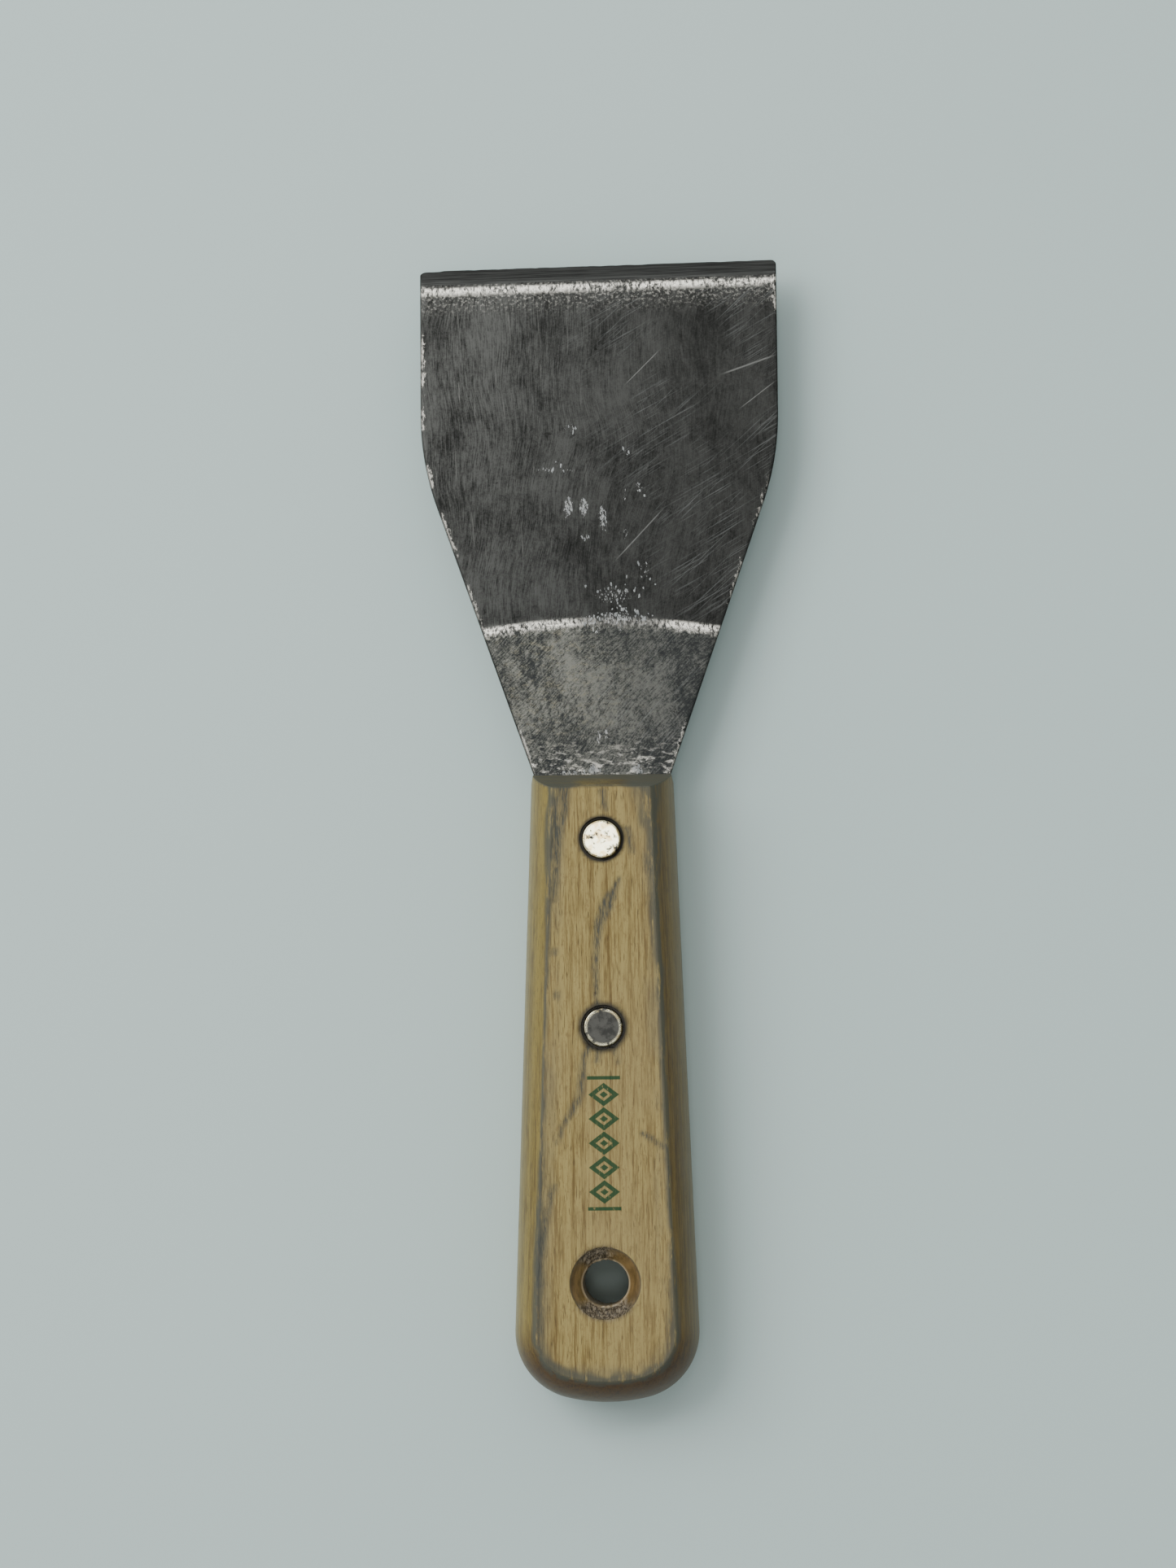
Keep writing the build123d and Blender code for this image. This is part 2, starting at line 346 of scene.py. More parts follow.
class Graph:
    """A node tree, with short ways to add nodes to it and link them."""

    def __init__(self, tree):
        self.tree = tree

    def add(self, kind, settings=None, **sockets):
        """A node of that kind. Underscores in socket names stand for spaces."""
        node = self.tree.nodes.new(kind)
        for name, value in (settings or {}).items():
            setattr(node, name, value)
        self.fill(node, **sockets)
        return node

    def fill(self, node, **sockets):
        """Links or sets a node's sockets."""
        for name, value in sockets.items():
            self.feed(node.inputs[name.replace("_", " ")], value)

    def feed(self, socket, value):
        """Links or sets one socket."""
        value = getattr(value, "socket", value)
        if isinstance(value, bpy.types.NodeSocket):
            self.tree.links.new(value, socket)
        elif socket.type == "RGBA" and len(value) == 3:
            socket.default_value = (*value, 1)
        else:
            socket.default_value = value

    def result(self, kind, settings, values, output=0):
        """One output of a node whose first inputs get the values."""
        node = self.add(kind, settings)
        for socket, value in zip(node.inputs, values):
            self.feed(socket, value)
        return Value(self, node.outputs[output])

    def math(self, operation, *values, clamp=False):
        """One Math node."""
        return self.result("ShaderNodeMath", {"operation": operation, "use_clamp": clamp}, values)

    def vector(self, operation, *values):
        """One Vector Math node that gives a vector."""
        return self.result("ShaderNodeVectorMath", {"operation": operation}, values)

    def dot(self, first, second):
        """The dot product of two vectors."""
        return self.result("ShaderNodeVectorMath", {"operation": "DOT_PRODUCT"}, (first, second), "Value")

    def length_of(self, vector):
        """The length of a vector."""
        return self.result("ShaderNodeVectorMath", {"operation": "LENGTH"}, (vector,), "Value")

    def first(self, kind, settings=None, **sockets):
        """The first output of a new node."""
        return Value(self, self.add(kind, settings, **sockets).outputs[0])

    def joined(self, **parts):
        """A vector from its X, Y and Z."""
        return self.first("ShaderNodeCombineXYZ", **parts)

    def total(self, *values):
        """The sum of several values, held between 0 and 1."""
        result = values[0]
        for value in values[1:]:
            result = self.math("ADD", result, value, clamp=True)
        return result

    def noise(self, vector, scale, detail=2.0, roughness=0.5):
        """The value of a noise texture."""
        sockets = {"Vector": vector, "Scale": scale, "Detail": detail, "Roughness": roughness}
        return self.first("ShaderNodeTexNoise", **sockets)

    def stretch(self, vector, scale, turn=0.0, offset=(0, 0, 0)):
        """Coordinates turned about Z and then scaled, for patterns that run one way."""
        turned = self.turned(vector, turn)
        return self.first("ShaderNodeMapping", Vector=turned, Location=offset, Scale=scale)

    def stretched(self, vector, scale, detail=2.0, roughness=0.5, turn=0.0):
        """Noise drawn out one way; scale is in lumps per metre along each axis."""
        return self.noise(self.stretch(vector, scale, turn), 1.0, detail, roughness)

    def turned(self, vector, angle):
        """Coordinates turned about Z."""
        return self.first("ShaderNodeVectorRotate", {"rotation_type": "Z_AXIS"}, Vector=vector, Angle=angle)

    def mix(self, factor, first, second):
        """One colour over another."""
        node = self.add("ShaderNodeMix", {"data_type": "RGBA"})
        for socket, value in zip([s for s in node.inputs if s.type == "RGBA"], (first, second)):
            self.feed(socket, value)
        self.feed(node.inputs[0], factor)
        return Value(self, next(s for s in node.outputs if s.type == "RGBA"))

    def blend(self, factor, first, second):
        """One number over another."""
        node = self.add("ShaderNodeMix", {"data_type": "FLOAT"})
        for socket, value in zip([s for s in node.inputs if s.type == "VALUE"], (factor, first, second)):
            self.feed(socket, value)
        return Value(self, node.outputs[0])

    def group(self, tree, **sockets):
        """The first output of a node group placed with its own values."""
        return self.first("ShaderNodeGroup", {"node_tree": tree}, **sockets)

    def parts(self, vector):
        """X, Y and Z of a vector."""
        return [Value(self, s) for s in self.add("ShaderNodeSeparateXYZ", Vector=vector).outputs]

    def own_place(self):
        """The surface point in the row frame."""
        return Value(self, self.add("ShaderNodeTexCoord").outputs["Object"])

    def mask(self, name):
        """A mask that the mesh holds."""
        return Value(self, self.add("ShaderNodeAttribute", {"attribute_name": name}).outputs["Fac"])

    def bump(self, height, strength, distance):
        """A bump node's normal."""
        return self.first("ShaderNodeBump", Height=height, Strength=strength, Distance=distance)


def new_group(name, inputs, output):
    """A shader node group that gives one number, and a graph to fill it."""
    tree = bpy.data.node_groups.new(name, "ShaderNodeTree")
    for label, value in inputs.items():
        kind = "NodeSocketVector" if isinstance(value, tuple) else "NodeSocketFloat"
        socket = tree.interface.new_socket(label, in_out="INPUT", socket_type=kind)
        socket.default_value = value
    tree.interface.new_socket(output, in_out="OUTPUT", socket_type="NodeSocketFloat")
    graph = Graph(tree)
    given = {s.name: Value(graph, s) for s in graph.add("NodeGroupInput").outputs if s.name}
    return graph, given, graph.add("NodeGroupOutput").inputs[0]


def new_material(name):
    """A material with one Principled BSDF, and a graph to fill it."""
    material = bpy.data.materials.new(name)
    material.use_nodes = True
    material.node_tree.nodes.clear()
    graph = Graph(material.node_tree)
    shader = graph.add("ShaderNodeBsdfPrincipled")
    graph.add("ShaderNodeOutputMaterial", Surface=shader.outputs[0])
    return material, graph, shader


def group_named(name, build):
    """A node group that is built the first time it is asked for."""
    return bpy.data.node_groups.get(name) or build(name)


def scratch_group(name):
    """Short straight scratches that all run one way."""
    inputs = {"Place": (0, 0, 0), "Angle": 0.0, "Across": 2500.0, "Along": 90.0, "Amount": 0.5, "Seed": 0.0}
    graph, given, result = new_group(name, inputs, "Scratches")
    turned = graph.turned(given["Place"], given["Angle"])
    x, y, _ = graph.parts(turned)
    wander = graph.noise(turned, 35.0, detail=1.0)
    x = x + wander * 0.0012
    run = graph.joined(X=x * given["Across"], Y=y * given["Along"], Z=given["Seed"])
    lines = graph.noise(run, 1.0, detail=2.0, roughness=0.6)
    threshold = 0.82 - given["Amount"] * 0.3
    sharp = (lines - threshold) * 9.0
    graph.feed(result, graph.math("MAXIMUM", graph.math("MINIMUM", sharp, 1.0), 0.0))
    return graph.tree


def speck_group(name):
    """Scattered small spots, uneven in size and shape."""
    inputs = {"Place": (0, 0, 0), "Scale": 400.0, "Amount": 0.3, "Seed": 0.0}
    graph, given, result = new_group(name, inputs, "Specks")
    moved = graph.vector("ADD", given["Place"], graph.joined(Z=given["Seed"]))
    fine = graph.noise(moved, given["Scale"], detail=3.0, roughness=0.65)
    wide = graph.noise(moved, given["Scale"] * 0.13, detail=2.0)
    level = fine * 0.75 + wide * 0.25
    threshold = 0.72 - given["Amount"] * 0.25
    spots = (level - threshold) * 14.0
    graph.feed(result, graph.math("MAXIMUM", graph.math("MINIMUM", spots, 1.0), 0.0))
    return graph.tree


def scratches(graph, place, angle, across, along, amount, seed):
    """Scratches in one direction, placed in a material."""
    tree = group_named("Scratches", scratch_group)
    given = {"Across": across, "Along": along, "Amount": amount, "Seed": seed}
    return graph.group(tree, Place=place, Angle=angle, **given)


def specks(graph, place, scale, amount, seed):
    """Scattered specks, placed in a material."""
    tree = group_named("Specks", speck_group)
    return graph.group(tree, Place=place, Scale=scale, Amount=amount, Seed=seed)


# ------------------------------------------------------------------ blade


class BladeShape:
    """Where the steel's surfaces lie. Places are measured from the handle's face and the steel's middle."""

    def __init__(self, sizes):
        self.s = sizes
        self.half = (BLADE_HIGH[0] - BLADE_LOW[0]) / 2
        self.stock = BLADE_HIGH[2] - MID_Z
        self.tang_end = BLADE_LOW[1] - FACE_Y
        lift = sizes.corner_radius * (1 - 1 / cos(sizes.skew))
        corner_x = self.half - sizes.corner_radius
        self.edge_middle = BLADE_HIGH[1] - FACE_Y - corner_x * tan(sizes.skew) - lift
        self.shoulder_y = (self.half - sizes.neck_width / 2) / tan(sizes.taper)
        self.bite = sqrt(2 * sizes.wheel_radius * sizes.grind_step - sizes.grind_step**2)

    def edge_y(self, x):
        """The working edge, without its corners and nicks."""
        return self.edge_middle + x * tan(self.s.skew)

    def half_width(self, y):
        """Half the width, without the edge's corners."""
        s = self.s
        if y < 0:
            in_corner = max(0.0, self.tang_end + s.tang_corner - y)
            round_off = s.tang_corner - sqrt(max(0.0, s.tang_corner**2 - in_corner**2))
            return s.neck_width / 2 - round_off
        tangent = s.shoulder_radius * tan(s.taper / 2)
        if y < self.shoulder_y - tangent * cos(s.taper):
            return s.neck_width / 2 + y * tan(s.taper)
        if y > self.shoulder_y + tangent:
            return self.half
        from_end = self.shoulder_y + tangent - y
        return self.half - s.shoulder_radius + sqrt(s.shoulder_radius**2 - from_end**2)

    def corner_inset(self, behind):
        """How far the sides draw in near the edge, by the distance behind it."""
        r = self.s.corner_radius
        return r - np.sqrt(np.maximum(0.0, r**2 - np.maximum(0.0, r - behind) ** 2))

    def ground(self, x, y):
        """Steel taken off each face by grinding."""
        s = self.s
        out = np.hypot(x, y - s.grind_start + s.grind_radius) - s.grind_radius
        hollow = s.grind_step - s.wheel_radius
        hollow = hollow + np.sqrt(s.wheel_radius**2 - np.clip(out - self.bite, -self.bite, 0) ** 2)
        reach = self.edge_middle - s.grind_start - self.bite
        slope = (self.stock - s.grind_step - s.ground_edge / 2) / reach
        return np.where(out > 0, hollow + np.maximum(0.0, out - self.bite) * slope, 0.0)

    def bevelled(self, behind):
        """The bevel's height above the lower face's level, by the distance behind the edge."""
        s = self.s
        rise = (s.ground_edge - s.edge_land) / s.bevel_length
        return -s.ground_edge / 2 + s.edge_land + behind * rise


def blade_rows(shape):
    """Rows across the blade: (y in the middle, share of the grind line's curve, share of the edge's skew)."""
    s = shape.s
    rows = [(y, 0.0, 0.0) for y in spaced(shape.tang_end, shape.tang_end + s.tang_corner, 0.5 * MM)]
    rows += [(y, 0.0, 0.0) for y in spaced(shape.tang_end + s.tang_corner, 0, 1.0 * MM)[1:]]
    rows += [(y, y / s.grind_start, 0.0) for y in spaced(0, s.grind_start, 0.8 * MM)[1:]]
    hollow_end = s.grind_start + shape.bite
    rows += [(y, 1.0, 0.0) for y in spaced(s.grind_start, hollow_end, 0.2 * MM)[1:]]
    wear_start = shape.edge_middle - s.bevel_length - s.shoulder_wear
    for y in spaced(hollow_end, wear_start, 0.8 * MM)[1:]:
        done = (y - hollow_end) / (wear_start - hollow_end)
        rows.append((y, 1 - done, done))
    bevel_start = shape.edge_middle - s.bevel_length
    rows += [(y, 0.0, 1.0) for y in spaced(wear_start, bevel_start, 0.35 * MM)[1:]]
    rows += [(y, 0.0, 1.0) for y in spaced(bevel_start, shape.edge_middle - s.corner_radius, 0.35 * MM)[1:]]
    corner_turns = np.linspace(0, pi / 2, 9)[1:]
    rows += [(shape.edge_middle - s.corner_radius * (1 - sin(t)), 0.0, 1.0) for t in corner_turns]
    return rows


def blade_columns(shape, half_width):
    """Places across the blade, close together in its eased sides."""
    easing = shape.s.side_easing
    inner = half_width - 1.6 * MM
    side = [half_width - easing * (1 - cos(t)) for t in np.linspace(0, pi / 2, 6)]
    side += [half_width - 0.8 * MM]
    middle = np.linspace(-inner, inner, 91)
    return np.concatenate([-np.array(side), middle, np.array(side)[::-1]])


def edge_nicks(x, shape):
    """How far the working edge is worn back in small nicks."""
    dice = np.random.default_rng(shape.s.seed)
    worn = np.zeros(len(x))
    for _ in range(26):
        middle = dice.uniform(-shape.half, shape.half)
        width = dice.uniform(0.25, 1.1) * MM
        worn += dice.uniform(0.01, 0.09) * MM * np.exp(-(((x - middle) / width) ** 2))
    corner_flat = fade(-x, shape.half - 5.2 * MM, shape.half - 4.4 * MM)
    return worn + 0.16 * MM * corner_flat


def blade_points(shape):
    """The upper and lower faces as grids of points, rows along the blade and columns across it."""
    s = shape.s
    upper, lower = [], []
    for y_middle, curve, skew in blade_rows(shape):
        behind_edge = shape.edge_middle - y_middle
        x = blade_columns(shape, shape.half_width(y_middle))
        for _ in range(4):
            droop = s.grind_radius - np.sqrt(s.grind_radius**2 - x**2)
            y = y_middle - curve * droop + skew * x * tan(s.skew)
            side_left = shape.half_width(y[0]) - shape.corner_inset(behind_edge)
            side_right = shape.half_width(y[-1]) - shape.corner_inset(behind_edge)
            x = np.where(x < 0, blade_columns(shape, side_left), blade_columns(shape, side_right))
        behind = shape.edge_y(x) - y
        worn_back = edge_nicks(x, shape) * fade(behind, 0.9 * MM, 0)
        wear = fade(behind, s.bevel_length + s.shoulder_wear, s.bevel_length)
        wear_depth = 0.085 * MM * wear**1.3
        drop = shape.ground(x, y)
        face = np.minimum(shape.stock - drop - wear_depth, shape.bevelled(behind))
        back = shape.stock - drop
        from_side = np.minimum(x - x[0], x[-1] - x)
        easing = np.minimum(s.side_easing, 0.45 * (face + back))
        reach = np.clip(easing - from_side, 0, easing)
        round_off = easing - np.sqrt(np.maximum(0.0, easing**2 - reach**2))
        plan = np.column_stack([x, y - worn_back + FACE_Y])
        sway = 0.05 * MM * lumps(np.column_stack([plan, np.zeros(len(x))]), 34 * MM, s.seed)
        sway = sway * fade(y, 0, 20 * MM)
        upper.append(np.column_stack([plan, MID_Z + face - round_off + sway]))
        lower.append(np.column_stack([plan, MID_Z - back + round_off + sway]))
    return np.array(upper), np.array(lower)


def blade_mesh(shape):
    """The whole blade as one closed mesh."""
    upper, lower = blade_points(shape)
    rows, columns = upper.shape[:2]
    numbers = np.arange(rows * columns).reshape(rows, columns)
    below = numbers + rows * columns
    faces = []
    for j in range(rows - 1):
        faces += strip(list(numbers[j]), list(numbers[j + 1]), closed=False)
        faces += strip(list(below[j + 1]), list(below[j]), closed=False)
    rim = [*numbers[0], *numbers[1:, -1], *numbers[-1, -2::-1], *numbers[-2:0:-1, 0]]
    rim_below = [n + rows * columns for n in rim]
    faces += strip(rim_below, rim, closed=True)
    points = np.concatenate([upper.reshape(-1, 3), lower.reshape(-1, 3)])
    return new_piece("blade_steel", points, faces, radians(30))


def line_group(name):
    """One straight scratch between two points, seen from above, fading to its ends."""
    inputs = {"Place": (0, 0, 0), "Start": (0, 0, 0), "Run": (0, 1, 0), "Width": 0.2 * MM}
    graph, given, result = new_group(name, inputs, "Line")
    level = graph.vector("MULTIPLY", given["Place"], (1, 1, 0))
    offset = graph.vector("SUBTRACT", level, given["Start"])
    along = graph.dot(offset, given["Run"]) / graph.dot(given["Run"], given["Run"])
    held = graph.math("MINIMUM", graph.math("MAXIMUM", along, 0.0), 1.0)
    foot = graph.add("ShaderNodeVectorMath", {"operation": "SCALE"}, Scale=held)
    graph.feed(foot.inputs[0], given["Run"])
    gap = graph.length_of(graph.vector("SUBTRACT", offset, foot.outputs[0]))
    near = graph.math("SUBTRACT", 1.0, gap / given["Width"], clamp=True)
    ends = held.step(0.0, 0.25) * held.step(1.0, 0.75)
    graph.feed(result, near * ends)
    return graph.tree


def spot_group(name):
    """A soft oval spot, 1 at its middle and 0 at its outline."""
    inputs = {"Place": (0, 0, 0), "Centre": (0, 0, 0), "Size": (1, 1, 1)}
    graph, given, result = new_group(name, inputs, "Spot")
    level = graph.vector("MULTIPLY", graph.vector("SUBTRACT", given["Place"], given["Centre"]), (1, 1, 0))
    reach = graph.length_of(graph.vector("DIVIDE", level, given["Size"]))
    graph.feed(result, reach.step(1.0, 0.35))
    return graph.tree


FILLER_SMEARS = [
    # x, distance from the handle's face, half width, half length (millimetres) and amount
    (-6.7, 57.5, 1.6, 3.6, 0.95),
    (-3.4, 57.3, 1.6, 3.4, 0.95),
    (0.6, 55.2, 1.5, 4.2, 0.9),
    (-3.3, 51.0, 1.6, 1.0, 0.8),
    (-11.5, 65.6, 3.0, 1.0, 0.7),
    (-6.0, 65.3, 2.0, 0.8, 0.65),
    (-6.2, 74.6, 2.0, 1.6, 0.7),
    (5.8, 69.2, 1.1, 1.4, 0.7),
    (8.2, 61.4, 1.2, 2.0, 0.75),
    (5.3, 59.8, 1.0, 2.4, 0.7),
    (5.5, 51.6, 1.0, 2.0, 0.65),
    (9.4, 44.0, 2.2, 1.8, 0.65),
    (3.0, 38.5, 7.0, 3.0, 0.72),
    (3.4, 33.4, 5.8, 2.4, 0.85),
    (-2.6, 33.0, 3.4, 1.8, 0.8),
    (8.6, 33.0, 3.6, 2.0, 0.7),
    (-1.0, 31.2, 1.6, 1.6, 0.85),
    (4.2, 31.4, 1.4, 1.4, 0.8),
    (-0.6, 8.0, 0.8, 2.6, 0.85),
    (0.9, 8.6, 0.6, 2.4, 0.8),
    (-1.8, 1.2, 2.0, 1.5, 1.1),
    (7.3, 1.2, 1.7, 1.5, 1.05),
    (-7.5, 0.4, 4.0, 0.6, 0.85),
]
LONG_SCRATCHES = [
    # start and end as (x, distance from the handle's face) and width, in millimetres
    ((25.5, 85.4), (38.5, 89.9), 0.26),
    ((5.1, 83.2), (13.4, 91.5), 0.13),
    ((14.2, 57.6), (2.6, 45.2), 0.18),
    ((29.5, 77.8), (38.0, 84.3), 0.14),
]
EDGE_GLINTS = [
    # as the smears: places on the long edges that get a painted glint
    (-38.0, 89.0, 5, 9.0, 0.9),
    (-38.0, 77.0, 5, 3.5, 0.9),
    (-36.0, 64.5, 5, 4.0, 1.2),
    (-32.0, 52.0, 5, 7.0, 1.2),
    (-26.0, 37.0, 6, 8.0, 1.0),
    (38.0, 104.0, 4, 7.0, 0.9),
    (34.0, 58.0, 4, 9.0, 0.7),
    (28.0, 42.0, 4, 9.0, 0.7),
    (-16.0, 5.0, 4, 10.0, 1.1),
    (16.0, 6.0, 4, 10.0, 0.9),
]


def blade_zones(graph, place, s):
    """How far past the grind line, how far behind the bevel and how high above the middle a point lies."""
    x, y, z = graph.parts(place)
    centre_y = FACE_Y + s.grind_start - s.grind_radius
    past_line = graph.length_of(graph.joined(X=x, Y=y - centre_y)) - s.grind_radius
    bevel_line = FACE_Y + BladeShape(s).edge_middle - s.bevel_length
    return past_line, x * tan(s.skew) + bevel_line - y, z - MID_Z


def spots(graph, place, table):
    """The strongest of a table's soft spots at a point."""
    tree = group_named("Spot", spot_group)
    strongest = 0.0
    for x, past, half_width, half_length, amount in table:
        centre = (x * MM, past * MM + FACE_Y, 0)
        size = (half_width * MM, half_length * MM, 1)
        spot = graph.group(tree, Place=place, Centre=centre, Size=size)
        strongest = graph.math("MAXIMUM", spot * amount, strongest)
    return strongest


# shades of the steel and of what marks it, with painted light among them: painted shade and warm glints on
# the neck, painted dark reflection on the bevel and the eased edges
NECK_GREY, NECK_WARM_GLINT = (0.2, 0.21, 0.2), (0.285, 0.265, 0.19)
NECK_SHADED, NECK_DARK = (0.135, 0.137, 0.124), (0.034, 0.037, 0.037)
BEVEL_DARK, BEVEL_LIGHT = (0.024, 0.025, 0.024), (0.075, 0.078, 0.074)
CROSS_SCRATCH, GRINDING_LINE, LONG_MARK = (0.2, 0.21, 0.205), (0.23, 0.232, 0.215), (0.3, 0.305, 0.29)
PIT, EDGE_DARK_REFLECTION = (0.02, 0.02, 0.018), (0.025, 0.026, 0.024)


def steel_material(s):
    """Ground carbon steel, tarnished and scratched, with painted highlights along its ridges and edges and
    painted shade to the right.
    """
    material, graph, shader = new_material("tarnished_steel")
    place = graph.own_place()
    x, y, _ = graph.parts(place)
    past_line, before_bevel, height = blade_zones(graph, place, s)
    past = y - FACE_Y
    rim = graph.mask("rim")

    on_neck = past_line.step(0.3 * MM, -1.2 * MM)
    on_bevel = before_bevel.step(0.1 * MM, -0.1 * MM) * height.step(-0.3 * MM, -0.2 * MM)
    to_right = x.step(-30 * MM, 26 * MM)

    cloud = graph.noise(graph.stretch(place, (1, 0.7, 1)), 75.0, detail=5.0, roughness=0.6)
    blotch = graph.noise(graph.stretch(place, (1, 0.6, 1)), 520.0, detail=4.0, roughness=0.7)
    mottle = graph.noise(place, 1500.0, detail=4.0, roughness=0.72)
    fine = graph.noise(place, 3600.0, detail=2.0, roughness=0.7)
    sway = graph.noise(place, 26.0, detail=1.0) * (16 * MM)
    bent = graph.vector("ADD", place, graph.joined(X=sway))
    streak = graph.stretched(bent, (1300, 80, 1), 4.0, 0.75, turn=radians(-2))
    grain = graph.stretched(bent, (5200, 230, 1), 3.0, 0.65, turn=radians(4))
    bevel_grain = graph.stretched(place, (60, 4200, 1), 3.0, 0.7, turn=-s.skew)

    # tone of the ground face: streaks along it on the left, cloudier to the right, and darker to the right as
    # painted shade
    streaks = graph.blend(to_right * 0.45, streak * 0.4 + grain * 0.75, 0.575)
    tone = (cloud * 0.6 + blotch * 0.35 + streaks + (mottle * 0.3 + fine * 0.25)).step(1.1, 1.52)
    steel_shaded_to_right = graph.mix(to_right, s.steel, tuple(c * 0.68 for c in s.steel))
    base = graph.mix(tone, tuple(c * 0.2 for c in s.steel), steel_shaded_to_right)

    # tone of the neck, which keeps its rolled skin; its left half is lighter with painted warm glints and its
    # right half darker with painted shade
    hatch = graph.stretched(bent, (3400, 420, 1), 3.0, 0.7, turn=radians(48))
    neck = blotch * 0.35 + mottle * 0.45 + (cloud * 0.55 + fine * 0.4) + hatch * 0.55
    neck = neck.step(1.02, 1.34)
    warm_glint = graph.noise(graph.stretch(place, (1, 2.2, 1)), 480.0, detail=4.0, roughness=0.75).step(0.5, 0.66)
    neck_lit_left = graph.mix(warm_glint * 0.6 + 0.3, NECK_GREY, NECK_WARM_GLINT)
    neck_lit_and_shaded = graph.mix(x.step(-16 * MM, 16 * MM), neck_lit_left, NECK_SHADED)
    neck = graph.mix(neck, NECK_DARK, neck_lit_and_shaded)
    base = graph.mix(on_neck, base, neck)

    # scratches: a slanting field to the right and over the neck, grinding lines along the left
    patches = graph.noise(place, 60.0, detail=3.0).step(0.4, 0.6)
    field = (x + past * 0.25).step(8 * MM, 34 * MM)
    slanted = graph.total(
        scratches(graph, place, radians(60), 3300.0, 60.0, 0.85, 1.0),
        scratches(graph, place, radians(47), 2700.0, 45.0, 0.75, 7.0),
    )
    neck_scratches = scratches(graph, place, radians(42), 3200.0, 70.0, 0.8, 4.0)
    cross = graph.blend(on_neck, slanted, neck_scratches) * graph.total(field, on_neck) * patches
    lengthwise = scratches(graph, place, radians(-3), 2300.0, 70.0, 0.6, 3.0)
    lines = lengthwise * x.step(16 * MM, -18 * MM) * past_line.step(0, 8 * MM)
    base = graph.mix(cross * 0.34, base, CROSS_SCRATCH)
    base = graph.mix(lines * 0.35, base, GRINDING_LINE)
    line_tree = group_named("Long scratch", line_group)
    long_marks = 0.0
    for start, end, width in LONG_SCRATCHES:
        run = ((end[0] - start[0]) * MM, (end[1] - start[1]) * MM, 0)
        origin = (start[0] * MM, start[1] * MM + FACE_Y, 0)
        mark = graph.group(line_tree, Place=place, Start=origin, Run=run, Width=width * MM)
        long_marks = graph.math("MAXIMUM", mark, long_marks)
    base = graph.mix(long_marks * 0.5, base, LONG_MARK)

    # the bevel's dark tone is painted dark reflection, crossed by lighter grinding lines
    bevel_dark_reflection = graph.mix(bevel_grain.step(0.3, 0.7), BEVEL_DARK, BEVEL_LIGHT)
    base = graph.mix(on_bevel, base, bevel_dark_reflection)

    # painted highlights: the grind line, the bevel's shoulder, the foot of the neck and the long sides
    dashes = graph.stretched(place, (1500, 700, 1), 4.0, 0.72)
    length_of_band = graph.stretched(place, (85, 1, 1), 2.0)
    wide_dashes = dashes + (length_of_band - 0.5) * 0.35
    ragged_line = past_line + (mottle - 0.5) * (4 * MM)
    ridge = ragged_line.step(-1.5 * MM, 0) * past_line.step(1.5 * MM, 0.5 * MM)
    from_gap = abs(x - 4 * MM)
    ridge = ridge * graph.blend(from_gap.step(6 * MM, 12 * MM), 0.25, 1.0)
    ridge = ridge * wide_dashes.step(0.41, 0.57)
    core = before_bevel.step(0.4 * MM, 1.1 * MM) * before_bevel.step(2.9 * MM, 1.3 * MM)
    core = core * wide_dashes.step(0.4, 0.56)
    fringe = before_bevel.step(0, 0.4 * MM) * before_bevel.step(8 * MM, 1.5 * MM)
    fringe = fringe * mottle.step(0.5, 0.66) * 0.35
    foot = past.step(10 * MM, 1.5 * MM) * past.step(-0.5 * MM, 0.6 * MM)
    glints = spots(graph, place, EDGE_GLINTS) * rim.step(1.5, 0.4) * 0.22
    glints = (glints + dashes).step(0.63, 0.74) * glints.step(0, 0.02)
    painted_highlight = graph.total(ridge, core, fringe, foot * warm_glint * 0.6, glints * 0.55)
    painted_highlight = painted_highlight * (1.0 - on_bevel)
    base = graph.mix(painted_highlight, base, s.bright)

    # dried filler smeared thinly over the steel
    combed = graph.stretched(place, (2700, 1000, 1), 4.0, 0.75)
    smear = (spots(graph, place, FILLER_SMEARS) * 0.27 + combed).step(0.745, 0.8)
    base = graph.mix(smear * 0.85, base, s.smear)

    # dark pits, and painted dark reflection along the eased edges
    pits = graph.total(specks(graph, place, 900.0, 0.3, 2.0), specks(graph, place, 380.0, 0.24, 6.0) * 0.8)
    base = graph.mix(pits * 0.75, base, PIT)
    eased = (rim + to_right * 0.25).step(0.5, 0.3)
    base = graph.mix(eased * 0.8, base, EDGE_DARK_REFLECTION)

    roughness = graph.blend(graph.noise(place, 160.0, detail=3.0), 0.24, 0.38)
    roughness = graph.blend(painted_highlight, roughness, 0.24)
    roughness = graph.blend(graph.total(pits, smear), roughness, 0.7)
    relief = grain * 0.45 + mottle * 0.4 - graph.total(cross, lines, long_marks) * 0.5 - pits * 1.5
    normal = graph.bump(graph.blend(on_bevel, relief, bevel_grain), 0.4, 0.03 * MM)
    graph.fill(shader, Base_Color=base, Roughness=roughness, Metallic=1.0 - smear * 0.9, Normal=normal)
    return material


